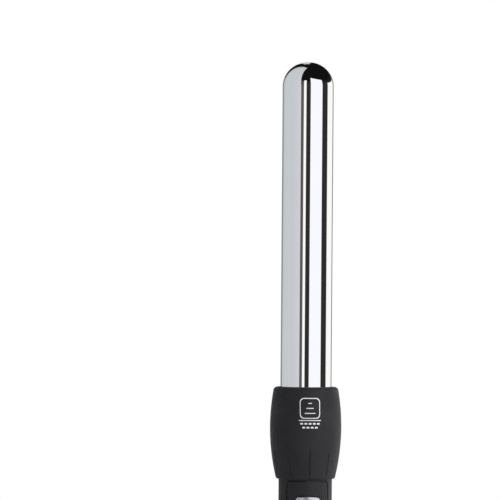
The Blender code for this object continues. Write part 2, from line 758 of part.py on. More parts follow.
def half_shell(name, side):
    """One half of the shells. side is -1 for the front half and 1 for the rear one."""
    shell = turned(name, shell_profile(), "handle_plastic")
    size = 4 * HANDLE_PALM_RADIUS
    height = 2 * NECK_TOP_Z
    parting = GAP / 2
    away = (0.0, side * (parting - size / 2), NECK_TOP_Z / 2)
    return cut(shell, block(f"{name}_half_cutter", (size, size, height), away))


def front_shell():
    shell = half_shell("front_shell", -1)
    low, high = PANEL_Z
    recess = rounded_rectangle(PANEL_WIDTH + 2 * GAP, low - GAP, high + GAP, PANEL_CORNER + GAP)
    margin = 2 * MM
    pocket = handle_skin("recess_cutter", margin, -PANEL_THICK - GAP, low - margin, high + margin)
    combine(pocket, front_prism("recess_outline_cutter", [recess]), "INTERSECT")
    window = rounded_rectangle(WINDOW_WIDTH, low + WINDOW_MARGIN, high - WINDOW_MARGIN, PANEL_CORNER)
    cut(shell, pocket, front_prism("window_cutter", [window]))
    for i, z in enumerate(SHELL_SCREW_Z):
        wall = handle_radius(z) - SHELL_WALL / 2
        boss = rod(f"front_boss_{i + 1}_shape", (0.0, -wall, z), (0.0, -GAP / 2, z), FRONT_BOSS)
        join(shell, boss)
        pilot_end = SHELL_SCREW_TIP_Y - 2 * GAP
        cut(shell, rod(f"pilot_cutter_{i + 1}", (0.0, pilot_end, z), (0.0, 2 * MM, z), SCREW_HOLE))
    return shell


def rear_shell():
    shell = half_shell("rear_shell", 1)
    for i, z in enumerate(SHELL_SCREW_Z):
        wall = handle_radius(z) - SHELL_WALL / 2
        outside = handle_radius(z) + 2 * MM
        boss = rod(f"rear_boss_{i + 1}_shape", (0.0, GAP, z), (0.0, wall, z), REAR_BOSS)
        join(shell, boss)
        cut(shell, rod(f"rear_hole_cutter_{i + 1}", (0.0, -2 * MM, z), (0.0, outside, z), SCREW_HOLE))
        cut(shell, rod(f"rear_seat_cutter_{i + 1}", (0.0, SHELL_SCREW_SEAT_Y, z), (0.0, outside, z), COUNTERBORE))
    return shell


def shell_screws():
    head_thick = 1.5 * MM
    for i, z in enumerate(SHELL_SCREW_Z):
        under = SHELL_SCREW_SEAT_Y + GAP
        screw = rod(f"shell_screw_{i + 1}", (0.0, under, z), (0.0, under + head_thick, z), SCREW_HEAD, "steel")
        join(screw, rod(f"shell_screw_shank_{i + 1}", (0.0, SHELL_SCREW_TIP_Y, z), (0.0, under + GAP, z), SCREW_SHANK))


def lock_ring():
    """Ring held in the neck's groove: notches let the lugs in, and stops end the twist both ways."""
    ring = turned("lock_ring", ring_profile(*LOCK_RING_RADII, *LOCK_RING_Z), "steel", MEDIUM_STEPS)
    past = 0.5 * MM
    for i, lug in enumerate(lug_angles()):
        notch = lug + UNLOCK_ANGLE
        outline = sector_outline(
            LOCK_RING_RADII[0] - past, LUG_RADIUS + GAP, notch - NOTCH_HALF_ANGLE, notch + NOTCH_HALF_ANGLE
        )
        cut(ring, prism(f"notch_cutter_{i + 1}", [outline], LOCK_RING_Z[0] - past, LOCK_RING_Z[1] + past))
    for i, lug in enumerate(lug_angles()):
        start = lug + UNLOCK_ANGLE + LUG_HALF_ANGLE + STOP_MARGIN
        end = lug + 2 * math.pi / LUGS - LUG_HALF_ANGLE - STOP_MARGIN
        outline = sector_outline(LOCK_RING_RADII[0], LUG_RADIUS, start, end)
        join(ring, prism(f"stop_{i + 1}_shape", [outline], LUG_FOOT_Z, LOCK_RING_Z[0] + GAP))
    return ring


def slot_angles(angle):
    """Where a pin's slot starts and ends, so that the pin can turn to the unlocked place."""
    return angle - SLOT_RUN, angle + UNLOCK_ANGLE + SLOT_RUN


def contact_block():
    """Insulating block with a curved slot for each pin, and a spring blade in each slot."""
    holder = turned("contact_block", disc_profile(BLOCK_RADIUS, *BLOCK_Z), "ceramic", MEDIUM_STEPS)
    past = 0.5 * MM
    for i, angle in enumerate(contact_angles()):
        outline = slot_outline(CONTACT_CIRCLE, SLOT_HALF_WIDTH, *slot_angles(angle))
        cut(holder, prism(f"slot_cutter_{i + 1}", [outline], SLOT_FLOOR_Z, BLOCK_Z[1] + past))
        outline = slot_outline(CONTACT_CIRCLE, BLADE_HALF_WIDTH, *slot_angles(angle), 5)
        low = SLOT_FLOOR_Z + GAP
        prism(f"contact_blade_{i + 1}", [outline], low, low + BLADE_THICK, "brass")


def control_panel():
    low, high = PANEL_Z
    outline = rounded_rectangle(PANEL_WIDTH, low, high, PANEL_CORNER)
    panel = handle_patch("control_panel", 0.0, -PANEL_THICK, [outline], low, high, "panel_plastic")
    width, height = BEZEL_SIZE
    bezel_low = BEZEL_TOP_Z - height
    opening = arched_plate(width + 2 * GAP, bezel_low - GAP, BEZEL_TOP_Z + GAP, BEZEL_CORNER + GAP, BEZEL_ARCH)
    cut(panel, front_prism("bezel_opening_cutter", [opening]))
    for name, z, radius in BUTTONS:
        outside = (0.0, -2 * HANDLE_PALM_RADIUS, z)
        cut(panel, rod(f"{name}_hole_cutter", outside, (0.0, BOARD_FRONT_Y, z), radius + GAP, steps=MEDIUM_STEPS))


def display():
    width, height = BEZEL_SIZE
    low, high = BEZEL_TOP_Z - height, BEZEL_TOP_Z
    outline = arched_plate(width, low, high, BEZEL_CORNER, BEZEL_ARCH)
    sight = arched_plate(width - 2 * BEZEL_RIM, low + BEZEL_RIM, high - BEZEL_RIM, LENS_CORNER + GAP, BEZEL_ARCH)
    handle_patch("display_bezel", BEZEL_PROUD, -BEZEL_DEPTH, [outline, sight], low, high, "satin_silver")
    inset = BEZEL_RIM + GAP
    glass = arched_plate(width - 2 * inset, low + inset, high - inset, LENS_CORNER, BEZEL_ARCH)
    handle_patch("display_lens", 0.0, -LENS_THICK, [glass], low, high, "smoked_lens")
    _, depth, _ = LCD_SIZE
    rear_y = BOARD_FRONT_Y - GAP
    block("display_module", LCD_SIZE, (0.0, rear_y - depth / 2, (low + high) / 2), "lcd")


def button(name, z, radius):
    """Round key: domed face, flange behind the panel, and a stem towards its switch."""
    surface = handle_radius(z)
    face_y = -(surface + BUTTON_PROUD)
    flange = radius + BUTTON_FLANGE
    flange_front = -math.sqrt((surface - PANEL_THICK) ** 2 - flange**2) + GAP
    flange_rear = flange_front + BUTTON_FLANGE_THICK
    stem_end = switch_top_y() - BUTTON_TRAVEL_ROOM
    profile = [
        (0.0, -face_y),
        (radius * 0.6, -face_y - BUTTON_DOME * 0.35),
        (radius - BUTTON_DOME, -face_y - BUTTON_DOME),
        (radius, -face_y - 2 * BUTTON_DOME),
        (radius, -flange_front),
        (flange, -flange_front),
        (flange, -flange_rear),
        (BUTTON_STEM, -flange_rear),
        (BUTTON_STEM, -stem_end),
        (0.0, -stem_end),
    ]
    key = turned(f"{name}_button", profile, "panel_plastic", MEDIUM_STEPS)
    key.rotation_euler = (math.pi / 2, 0.0, 0.0)
    key.location = (0.0, 0.0, z)


def switch_top_y():
    return BOARD_FRONT_Y - GAP - SWITCH_HEIGHT - PLUNGER_HEIGHT


def key_switch(name, z):
    rear_y = BOARD_FRONT_Y - GAP
    size = (SWITCH_SIDE, SWITCH_HEIGHT, SWITCH_SIDE)
    body = block(f"{name}_switch", size, (0.0, rear_y - SWITCH_HEIGHT / 2, z), "component_black")
    inside = (0.0, rear_y - SWITCH_HEIGHT / 2, z)
    join(body, rod(f"{name}_plunger_shape", inside, (0.0, switch_top_y(), z), PLUNGER_RADIUS))


def circuit_board():
    low, high = BOARD_Z
    outline = rounded_rectangle(BOARD_WIDTH, low, high, BOARD_CORNER)
    boss_hole = circle_outline((0.0, SHELL_SCREW_Z[1]), BOARD_HOLE)
    prism("circuit_board", [outline, boss_hole], BOARD_FRONT_Y, BOARD_REAR_Y, "board_green", along="Y")
    on_rear = BOARD_REAR_Y + GAP
    parts = (
        ("suppression_capacitor", (13.0 * MM, 6.0 * MM, 15.0 * MM), (0.0, 52.0 * MM), "capacitor_yellow"),
        ("triac", (10.0 * MM, 4.4 * MM, 15.0 * MM), (-1.5 * MM, 88.0 * MM), "component_black"),
        ("controller_chip", (6.0 * MM, 1.8 * MM, 10.0 * MM), (0.0, 106.0 * MM), "component_black"),
    )
    for name, size, (x, z), material in parts:
        block(name, size, (x, on_rear + size[1] / 2, z), material)
    fuse_y = on_rear + 2.4 * MM
    rod("board_fuse", (5.9 * MM, fuse_y, 80.0 * MM), (5.9 * MM, fuse_y, 92.0 * MM), 1.6 * MM, "ceramic")


def socket_leads():
    """Leads from under the contact block to the back of the board, rear pair low, front pair high."""
    start_z = BLOCK_Z[0] - GAP
    end_y = BOARD_REAR_Y + GAP
    for i, angle in enumerate(contact_angles()):
        x, y, _ = on_circle(CONTACT_CIRCLE, angle, 0.0)
        outer_x = math.copysign(6.3 * MM, x)
        high_z = 122.0 * MM if y > 0 else 128.0 * MM
        if y > 0:
            outer_x = x
        middle_y = 1.6 * MM if y > 0 else 0.2 * MM
        route = [
            (x, y, start_z),
            (x, y / 2 + middle_y / 2, start_z - 2.5 * MM),
            (outer_x, middle_y, high_z + 4 * MM),
            (outer_x, middle_y - 1.0 * MM, high_z + 0.8 * MM),
            (outer_x, end_y, high_z),
        ]
        lead(f"socket_lead_{i + 1}", route, 0.6 * MM, "lead_white" if y > 0 else "lead_red")


# ---------------------------------------------------------------- end cap and cord swivel

def end_cap():
    foot_edge = arc_points((CAP_FOOT_RADIUS, CAP_ROUND), CAP_ROUND, 0.0, -math.pi / 2, 4)
    profile = [
        (CAP_SPIGOT_RADIUS, CAP_SPIGOT_Z),
        (CAP_SPIGOT_RADIUS, CAP_SHOULDER_Z),
        (handle_radius(CAP_SHOULDER_Z), CAP_SHOULDER_Z),
        *foot_edge,
        (CAP_MOUTH, 0.0),
        (CAP_MOUTH, CAP_LEDGE_Z),
        (CAP_BORE, CAP_LEDGE_Z),
        (CAP_BORE, CAP_SPIGOT_Z),
    ]
    turned("end_cap", profile, "handle_plastic")


def cord_swivel():
    """Gland that turns freely in the end cap, with the contacts that ride on it."""
    chamfer = 0.9 * MM
    profile = [
        (0.0, GLAND_TOP_Z),
        (GLAND_STEM, GLAND_TOP_Z),
        (GLAND_STEM, GLAND_FLANGE_Z[1]),
        (GLAND_FLANGE, GLAND_FLANGE_Z[1]),
        (GLAND_FLANGE, GLAND_FLANGE_Z[0]),
        (GLAND_NOSE, GLAND_FLANGE_Z[0]),
        (GLAND_NOSE, GLAND_FOOT_Z + chamfer),
        (GLAND_NOSE - chamfer, GLAND_FOOT_Z),
        (CORD_BORE, GLAND_FOOT_Z),
        (CORD_BORE, CORD_BORE_TOP_Z),
        (0.0, CORD_BORE_TOP_Z),
    ]
    turned("swivel_gland", profile, "component_black", MEDIUM_STEPS)
    turned("slip_ring", ring_profile(*SLIP_RING_RADII, *SLIP_RING_Z), "brass", SMALL_STEPS)
    centre_top = 18.5 * MM
    rod("centre_contact", (0.0, 0.0, SLIP_RING_Z[0]), (0.0, 0.0, centre_top), 1.2 * MM, "brass")
    retainer = ring_profile(GLAND_STEM + GAP, CAP_BORE - GAP, *RETAINER_Z)
    turned("swivel_retainer", retainer, "heatproof_plastic", MEDIUM_STEPS)
    holder = disc_profile(BRUSH_HOLDER_RADIUS, *BRUSH_HOLDER_Z)
    turned("brush_holder", holder, "heatproof_plastic", MEDIUM_STEPS)
    brush_top = BRUSH_HOLDER_Z[0] - GAP
    rod("centre_brush", (0.0, 0.0, centre_top + GAP), (0.0, 0.0, brush_top), 0.9 * MM, "brass")
    ring_x = sum(SLIP_RING_RADII) / 2
    rod("ring_brush", (ring_x, 0.0, SLIP_RING_Z[1] + GAP), (ring_x, 0.0, brush_top), 0.6 * MM, "brass")


def supply_leads():
    start_z = BRUSH_HOLDER_Z[1] + GAP
    end_y = BOARD_REAR_Y + GAP
    for side, name, material in ((-1, "supply_lead_1", "lead_blue"), (1, "supply_lead_2", "lead_red")):
        x = side * 5.8 * MM
        route = [(x, 2.5 * MM, start_z), (x, 2.5 * MM, 30 * MM), (x, 0.5 * MM, 38 * MM), (x, end_y, 39.5 * MM)]
        lead(name, route, 0.7 * MM, material)


def build_barrel_unit():
    barrel_tube()
    collar_sleeve()
    collar_carrier()
    barrel_base()
    collar_screws()
    barrel_foot()
    insulator_disc()
    heater_stack()
    contact_pins()
    barrel_leads()


def build_handle():
    front_shell()
    rear_shell()
    shell_screws()
    lock_ring()
    contact_block()
    control_panel()
    display()
    circuit_board()
    for name, z, radius in BUTTONS:
        button(name, z, radius)
        key_switch(name, z)
    socket_leads()
    end_cap()
    cord_swivel()
    supply_leads()


build_barrel_unit()
build_handle()
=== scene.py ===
"""Curling wand: the finished look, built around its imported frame.

The wand stands on its end cap. +Z runs up its axis to the tip and -Y is the front with the control panel.
"""

import json
import math

import bmesh
import bpy
from bpy.props import FloatProperty, FloatVectorProperty, IntProperty, PointerProperty
from mathutils import Matrix, Vector


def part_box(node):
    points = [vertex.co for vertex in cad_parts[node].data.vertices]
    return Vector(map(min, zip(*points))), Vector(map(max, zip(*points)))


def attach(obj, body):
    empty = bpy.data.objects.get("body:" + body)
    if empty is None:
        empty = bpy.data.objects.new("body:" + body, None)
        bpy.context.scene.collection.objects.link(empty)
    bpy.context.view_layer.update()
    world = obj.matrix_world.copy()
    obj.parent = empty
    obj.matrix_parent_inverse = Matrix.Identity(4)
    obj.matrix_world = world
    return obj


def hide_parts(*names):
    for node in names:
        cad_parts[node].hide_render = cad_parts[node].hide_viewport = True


bl_info = {
    "name": "Curling Wand",
    "version": (1, 0, 0),
    "blender": (4, 5, 0),
    "location": "View3D > Sidebar > Wand",
    "description": "Builds a chrome curling wand with a twist-lock collar and a control panel",
    "category": "Add Mesh",
}

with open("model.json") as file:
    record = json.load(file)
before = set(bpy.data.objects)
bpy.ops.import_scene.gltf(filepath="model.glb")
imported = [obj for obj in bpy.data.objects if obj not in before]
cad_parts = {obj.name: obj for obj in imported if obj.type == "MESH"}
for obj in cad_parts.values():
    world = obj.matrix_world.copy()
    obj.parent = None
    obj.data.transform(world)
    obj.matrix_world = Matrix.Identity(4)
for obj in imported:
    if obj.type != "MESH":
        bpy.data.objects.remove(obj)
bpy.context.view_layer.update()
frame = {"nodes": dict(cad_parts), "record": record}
BOXES = {node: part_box(node) for node in frame["nodes"]}

MM = 0.001
FRONT = -math.pi / 2                                    # bearing of the wand's front
FINE_STEPS = 192                                        # steps round the barrel and the end cap
GLAND_STEPS = 96
ROUND_STEPS = 64                                        # round a key
SMALL_STEPS = 32                                        # round a screw, a pin or their seats
BEND_GRID = (0.5 * MM, 2.0 * MM)                        # divisions across and along a plate that bends
PRINT_GRID = (0.5 * MM, 0.5 * MM)
SHORTEST_EDGE = 0.001 * MM                              # points of a plate closer than this are made one

HANDLE_RADII = (13.27 * MM, 15.0 * MM, 14.0 * MM)       # at the collar, the palm and the foot
SHELL_WALL = 2.5 * MM
SHOULDER = 141.2 * MM                                   # height where the grip ends and the neck begins
NECK_RADIUS = 11.6 * MM
NECK_BORE = 9.6 * MM
LEDGE_RADIUS = 8.5 * MM                                 # bore of the ledge under the contact block
CAP_SEAT_RADIUS = 12.5 * MM                             # bore of the shells round the end cap's spigot
SPIGOT_RADIUS = 12.2 * MM
SPIGOT = 6.0 * MM                                       # height of the end cap's part inside the shells
GROOVE_Z = (141.7 * MM, 157.0 * MM)                     # foot and top of a grip groove
GROOVE_START = 1.0 * MM                                 # length over which a groove deepens at its foot
GROOVE_RUN_OUT = 5.0 * MM                               # and over which it fades at its top
SLEEVE_WALL = 1.2 * MM
PANEL_THICKNESS = 1.2 * MM
PANEL_CORNER = 1.9 * MM
FRAME_CORNER = 1.6 * MM
KEYS = ("plus", "minus", "power")
KEY_FLANGE = 0.85 * MM                                  # how far a key's hidden flange reaches past its face
KEY_DOME = 0.32 * MM                                    # fall of a key's face from its middle to its edge
PRINT_LINE = 0.42 * MM                                  # width of a printed line
READING = "185"
SEGMENTS_OF = {"1": "bc", "5": "acdfg", "8": "abcdefg"}
SEGMENT_PLACES = {                                      # across, up, and quarter turns
    "a": (0.0, 1.0, 0), "g": (0.0, 0.0, 0), "d": (0.0, -1.0, 0),
    "f": (-0.5, 0.5, 1), "b": (0.5, 0.5, 1), "e": (-0.5, -0.5, 1), "c": (0.5, -0.5, 1),
}
HEXAGON = 1 / 1.732                                     # radius of a hexagon whose height is 1


def node_radius(node):
    """Half of a node's width along X."""
    low, high = BOXES[node]
    return (high.x - low.x) / 2


def foot_of(node):
    return BOXES[node][0].z


def top_of(node):
    return BOXES[node][1].z


# ---------------------------------------------------------------- sizes and colours that a user may change

def length(name, description, default):
    return FloatProperty(
        name=name, description=description, default=default, min=0.0, unit="LENGTH", precision=5
    )


def angle(name, description, degrees):
    return FloatProperty(name=name, description=description, default=math.radians(degrees), unit="ROTATION")


def colour(name, description, default):
    return FloatVectorProperty(
        name=name, description=description, default=default, subtype="COLOR", size=3, min=0.0, max=1.0
    )


class WandShape(bpy.types.PropertyGroup):
    """Sizes of the pieces that show."""

    barrel_wall: length("Barrel wall", "Thickness of the chrome tube", 1.2 * MM)
    dome_height: length("Dome height", "Height of the barrel's domed tip", 12.0 * MM)
    belt_height: length("Belt height", "Height on the axis of the collar's widest place", 166.2 * MM)
    collar_crown: length("Collar crown", "Radius of the arc that the collar's side follows", 105.0 * MM)
    collar_top_round: length("Collar top round", "Rounding of the collar's upper edge", 2.2 * MM)
    collar_foot_round: length("Collar foot round", "Rounding of the collar's lower edge", 1.3 * MM)
    groove_count: IntProperty(name="Grip grooves", description="Grooves round the collar", default=10, min=1)
    groove_width: length("Groove width", "Width of a grip groove", 0.95 * MM)
    groove_depth: length("Groove depth", "Depth of a grip groove", 0.4 * MM)
    palm_height: length("Palm height", "Height on the axis of the handle's widest place", 62.0 * MM)
    straight_from: length("Straight from", "Height above which the handle is straight", 125.0 * MM)
    seam_width: length("Seam width", "Width of the groove where the two handle shells meet", 0.3 * MM)
    panel_edge: length("Panel edge", "Rounding of the control panel's edges", 0.22 * MM)
    frame_rim: length("Display frame rim", "Width of the silver frame round the display", 1.6 * MM)
    frame_arch: length("Display frame arch", "Rise of the silver frame's upper edge", 0.2 * MM)
    mark_reach: length("Mark reach", "Half width of the printed square on the collar", 4.9 * MM)
    mark_height: length("Mark height", "Height on the axis of the printed square's centre", 175.8 * MM)


class WandColours(bpy.types.PropertyGroup):
    """Base colours of the finishes."""

    chrome: colour("Chrome", "Tint of the plated barrel", (0.93, 0.94, 0.955))
    rubber: colour("Soft rubber", "Collar sleeve", (0.0195, 0.0193, 0.0208))
    plastic: colour("Handle plastic", "Handle shells and end cap", (0.0195, 0.0194, 0.0202))
    panel: colour("Panel plastic", "Control panel and keys", (0.0195, 0.0193, 0.021))
    silver: colour("Satin silver", "Display frame", (0.74, 0.755, 0.78))
    ink: colour("Ink", "Printed marks", (0.62, 0.62, 0.61))
    floor: colour("Floor", "Studio floor", (0.9, 0.9, 0.905))


class WandStudio(bpy.types.PropertyGroup):
    """Camera and light."""

    azimuth: angle("Azimuth", "Bearing of the camera round the wand", -6.5)
    roll: angle("Roll", "Roll of the camera", 0.43)
    distance: length("Distance", "From the camera to the wand's axis", 2.6)
    field: length("Field", "Width that the camera sees at the wand", 248.4 * MM)
    aim_left: length("Aim left", "How far left of the axis the camera aims", 28.3 * MM)
    aim_height: length("Aim height", "Height that the camera aims at", 253.75 * MM)
    ceiling_power: FloatProperty(
        name="Ceiling power", description="Power of the soft light above", default=34.0, unit="POWER"
    )


def shape():
    return bpy.context.scene.wand_shape


def colours():
    return bpy.context.scene.wand_colours


# ---------------------------------------------------------------- node trees

class Value:
    """A socket that Python's operators work on. Each operator adds a Math node."""

    def __init__(self, nodes, socket):
        self.nodes = nodes
        self.socket = socket

    def math(self, operation, *operands):
        return self.nodes.add("ShaderNodeMath", {"operation": operation}, dict(enumerate(operands)))

    def __add__(self, other):
        return self.math("ADD", self, other)

    def __sub__(self, other):
        return self.math("SUBTRACT", self, other)

    def __rsub__(self, other):
        return self.math("SUBTRACT", other, self)

    def __mul__(self, other):
        return self.math("MULTIPLY", self, other)

    def __neg__(self):
        return self.math("MULTIPLY", self, -1.0)

    __radd__ = __add__
    __rmul__ = __mul__


class Nodes:
    """Adds nodes to one tree."""

    def __init__(self, tree):
        self.tree = tree

    def add(self, kind, settings=None, sockets=None, output=0):
        """A node of that kind: its settings, then the values or links of its sockets. Returns one output."""
        node = self.tree.nodes.new(kind)
        for name, value in (settings or {}).items():
            setattr(node, name, value)
        for name, value in (sockets or {}).items():
            self.feed(node.inputs[name], value)
        return Value(self, node.outputs[output])

    def feed(self, socket, value):
        if isinstance(value, Value):
            self.tree.links.new(value.socket, socket)
        else:
            socket.default_value = value

    def mix(self, factor, first, second):
        """Colours: the first where factor is 0, the second where it is 1."""
        first, second = ((*c, 1.0) if isinstance(c, tuple) else c for c in (first, second))
        settings = {"data_type": "RGBA", "clamp_factor": True}
        return self.add("ShaderNodeMix", settings, {0: factor, 6: first, 7: second}, 2)

    def step(self, value, low, high, bottom=0.0, top=1.0):
        """From bottom to top as the value goes from low to high, and level outside."""
        sockets = {"Value": value, 1: low, 2: high, 3: bottom, 4: top}
        return self.add("ShaderNodeMapRange", {"interpolation_type": "SMOOTHSTEP"}, sockets)


class Finish(Nodes):
    """A material: one Principled shader, and what varies it over the surface."""

    def __init__(self, name, tint, roughness, metallic=0.0, **constants):
        self.material = bpy.data.materials.new(name)
        self.material.use_nodes = True
        super().__init__(self.material.node_tree)
        self.shader = self.tree.nodes["Principled BSDF"]
        self.tint = tuple(tint)
        self.set("Base Color", (*self.tint, 1.0))
        self.set("Roughness", roughness)
        self.set("Metallic", metallic)
        for socket, value in constants.items():
            self.set(socket.replace("_", " ").title().replace("Ior", "IOR"), value)
        self.place = self.add("ShaderNodeTexCoord", output="Object")

    def set(self, socket, value):
        self.feed(self.shader.inputs[socket], value)

    def noise(self, grain, detail=2.0, stretch=(1.0, 1.0, 1.0)):
        """Soft noise whose features are about a grain long, drawn out along the axes by stretch."""
        scale = tuple(1.0 / (grain * share) for share in stretch)
        vector = self.add("ShaderNodeMapping", None, {"Vector": self.place, "Scale": scale})
        return self.add("ShaderNodeTexNoise", None, {"Vector": vector, "Scale": 1.0, "Detail": detail})

    def cells(self, grain):
        """Distance to the nearest of scattered points, about a grain apart."""
        return self.add("ShaderNodeTexVoronoi", None, {"Vector": self.place, "Scale": 1.0 / grain})

    def shade(self, factor, darker, lighter):
        """Base colour between two multiples of the tint."""
        low, high = (tuple(min(1.0, c * share) for c in self.tint) for share in (darker, lighter))
        self.set("Base Color", self.mix(factor, low, high))

    def bump(self, height, depth, strength=1.0):
        sockets = {"Height": height, "Distance": depth, "Strength": strength}
        self.set("Normal", self.add("ShaderNodeBump", None, sockets))


# ---------------------------------------------------------------- finishes

DULL_SKIN = {"specular_ior_level": 0.12, "sheen_weight": 0.1, "sheen_roughness": 0.3}


def chrome_finish():
    """Mirror plating with a faint haze from handling."""
    finish = Finish("polished_chrome", colours().chrome, 0.02, 1.0)
    haze = finish.step(finish.noise(14 * MM, 3.0), 0.4, 0.8)
    finish.set("Roughness", 0.016 + haze * 0.01)
    finish.shade(haze, 0.985, 1.0)
    return finish.material


def soft_rubber_finish():
    """Soft-touch skin: fine even grain, a slight bloom, and small polished patches where fingers turn it."""
    finish = Finish("soft_touch_rubber", colours().rubber, 0.5, **DULL_SKIN)
    bloom, grain = finish.noise(9 * MM, 4.0), finish.noise(0.16 * MM, 3.0)
    finish.shade(finish.step(bloom, 0.3, 0.7) * 0.5 + finish.step(grain, 0.3, 0.7) * 0.5, 0.84, 1.18)
    rubbed = finish.step(finish.noise(5 * MM, 3.0), 0.5, 0.72)
    finish.set("Roughness", 0.54 - rubbed * 0.08)
    finish.bump(grain, 0.04 * MM, 0.8)
    return finish.material


def spark_finish(name, tint, roughness, grain, depth):
    """Moulded plastic with a spark-eroded surface: small pits of mixed size, and flow shading."""
    finish = Finish(name, tint, roughness, **DULL_SKIN)
    flow = finish.noise(22 * MM, 3.0, (1.0, 1.0, 2.2))
    pits = finish.cells(grain) * 0.6 + finish.noise(grain * 0.7, 3.0) * 0.4
    finish.shade(finish.step(flow, 0.32, 0.68) * 0.5 + finish.step(pits, 0.3, 0.7) * 0.5, 0.84, 1.18)
    polish = finish.step(finish.noise(6 * MM, 4.0), 0.48, 0.7)
    finish.set("Roughness", roughness + 0.03 - polish * 0.07 + pits * 0.03)
    finish.bump(pits, depth, 0.8)
    return finish.material


def satin_silver_finish():
    """Brushed along the frame's height, then lacquered."""
    finish = Finish("satin_silver", colours().silver, 0.3, 1.0, coat_weight=0.15, coat_roughness=0.2)
    brush = finish.noise(0.09 * MM, 3.0, (1.0, 1.0, 60.0))
    cloud = finish.noise(4 * MM, 2.0)
    finish.shade(brush * 0.6 + cloud * 0.4, 0.86, 1.06)
    finish.set("Roughness", 0.22 + brush * 0.16)
    finish.bump(brush, 0.006 * MM, 0.6)
    return finish.material


def smoked_lens_finish():
    """Clear dark lens with a little dust."""
    finish = Finish("smoked_lens", (0.05, 0.055, 0.06), 0.07, alpha=0.4, coat_weight=0.4, coat_roughness=0.03)
    dust = finish.step(finish.noise(0.6 * MM, 4.0), 0.62, 0.75)
    finish.set("Roughness", 0.06 + dust * 0.12)
    return finish.material


def lcd_finish():
    """Grey-green display film with its fine mirror grain."""
    finish = Finish("display_film", (0.42, 0.48, 0.44), 0.35)
    grain = finish.noise(0.08 * MM, 2.0)
    finish.shade(grain, 0.85, 1.1)
    finish.set("Roughness", 0.3 + grain * 0.15)
    return finish.material


def ink_finish():
    """Pad-printed ink: thin spots and a dry, slightly uneven film."""
    finish = Finish("print_ink", colours().ink, 0.6)
    thin = finish.noise(0.35 * MM, 4.0)
    finish.shade(finish.step(thin, 0.25, 0.6), 0.8, 1.0)
    finish.bump(thin, 0.01 * MM, 0.5)
    return finish.material


def segment_finish():
    """Dark figures of the display."""
    finish = Finish("display_segment", (0.02, 0.025, 0.03), 0.35)
    finish.shade(finish.noise(0.3 * MM), 0.7, 1.2)
    return finish.material


def glass_filled_finish():
    """Heatproof resin: pale short fibres in a dark ground."""
    finish = Finish("heatproof_resin", (0.07, 0.063, 0.056), 0.5)
    fibre = finish.step(finish.noise(0.12 * MM, 3.0, (1.0, 5.0, 1.0)), 0.55, 0.75)
    finish.set("Base Color", finish.mix(fibre, (0.055, 0.05, 0.045), (0.15, 0.135, 0.12)))
    finish.set("Roughness", 0.46 + fibre * 0.14)
    finish.bump(fibre, 0.01 * MM, 0.5)
    return finish.material


def ceramic_finish():
    """Dry sintered ceramic with a fine grain."""
    finish = Finish("white_ceramic", (0.84, 0.82, 0.77), 0.5)
    grain = finish.noise(0.25 * MM, 4.0)
    finish.shade(grain, 0.88, 1.05)
    finish.bump(grain, 0.015 * MM, 0.6)
    return finish.material


def drawn_metal_finish(name, tint, roughness, stretch):
    """Metal with die lines along one axis."""
    finish = Finish(name, tint, roughness, 1.0)
    lines = finish.noise(0.12 * MM, 3.0, stretch)
    tarnish = finish.step(finish.noise(3 * MM, 3.0), 0.45, 0.75)
    finish.shade(1 - tarnish * 0.7, 0.7, 1.0)
    finish.set("Roughness", roughness + lines * 0.14 + tarnish * 0.08)
    finish.bump(lines, 0.006 * MM, 0.6)
    return finish.material


def circuit_board_finish():
    """Solder mask over straight copper tracks, with scattered bare pads."""
    finish = Finish("circuit_board", (0.02, 0.17, 0.075), 0.35)
    tracks = finish.step(finish.noise(0.9 * MM, 0.0, (1.0, 1.0, 14.0)), 0.5, 0.53)
    pads = finish.step(finish.cells(2.4 * MM), 0.2, 0.17)
    mask = finish.mix(tracks, (0.012, 0.115, 0.05), (0.03, 0.23, 0.1))
    finish.set("Base Color", finish.mix(pads, mask, (0.75, 0.72, 0.66)))
    finish.set("Metallic", pads * 0.9)
    finish.set("Roughness", 0.4 - tracks * 0.08)
    return finish.material


def moulded_finish(name, tint, roughness):
    """Plain moulded case of a component, slightly cloudy."""
    finish = Finish(name, tint, roughness)
    grain = finish.noise(0.2 * MM, 3.0)
    finish.shade(finish.noise(3 * MM, 3.0), 0.82, 1.15)
    finish.set("Roughness", roughness - 0.05 + grain * 0.1)
    finish.bump(grain, 0.012 * MM, 0.5)
    return finish.material


def silicone_finish(name, tint):
    """Wire insulation with the faint rings that extrusion leaves."""
    finish = Finish(name, tint, 0.48, sheen_weight=0.1)
    rings = finish.noise(0.5 * MM, 2.0)
    finish.shade(rings, 0.85, 1.08)
    finish.bump(rings, 0.02 * MM, 0.4)
    return finish.material


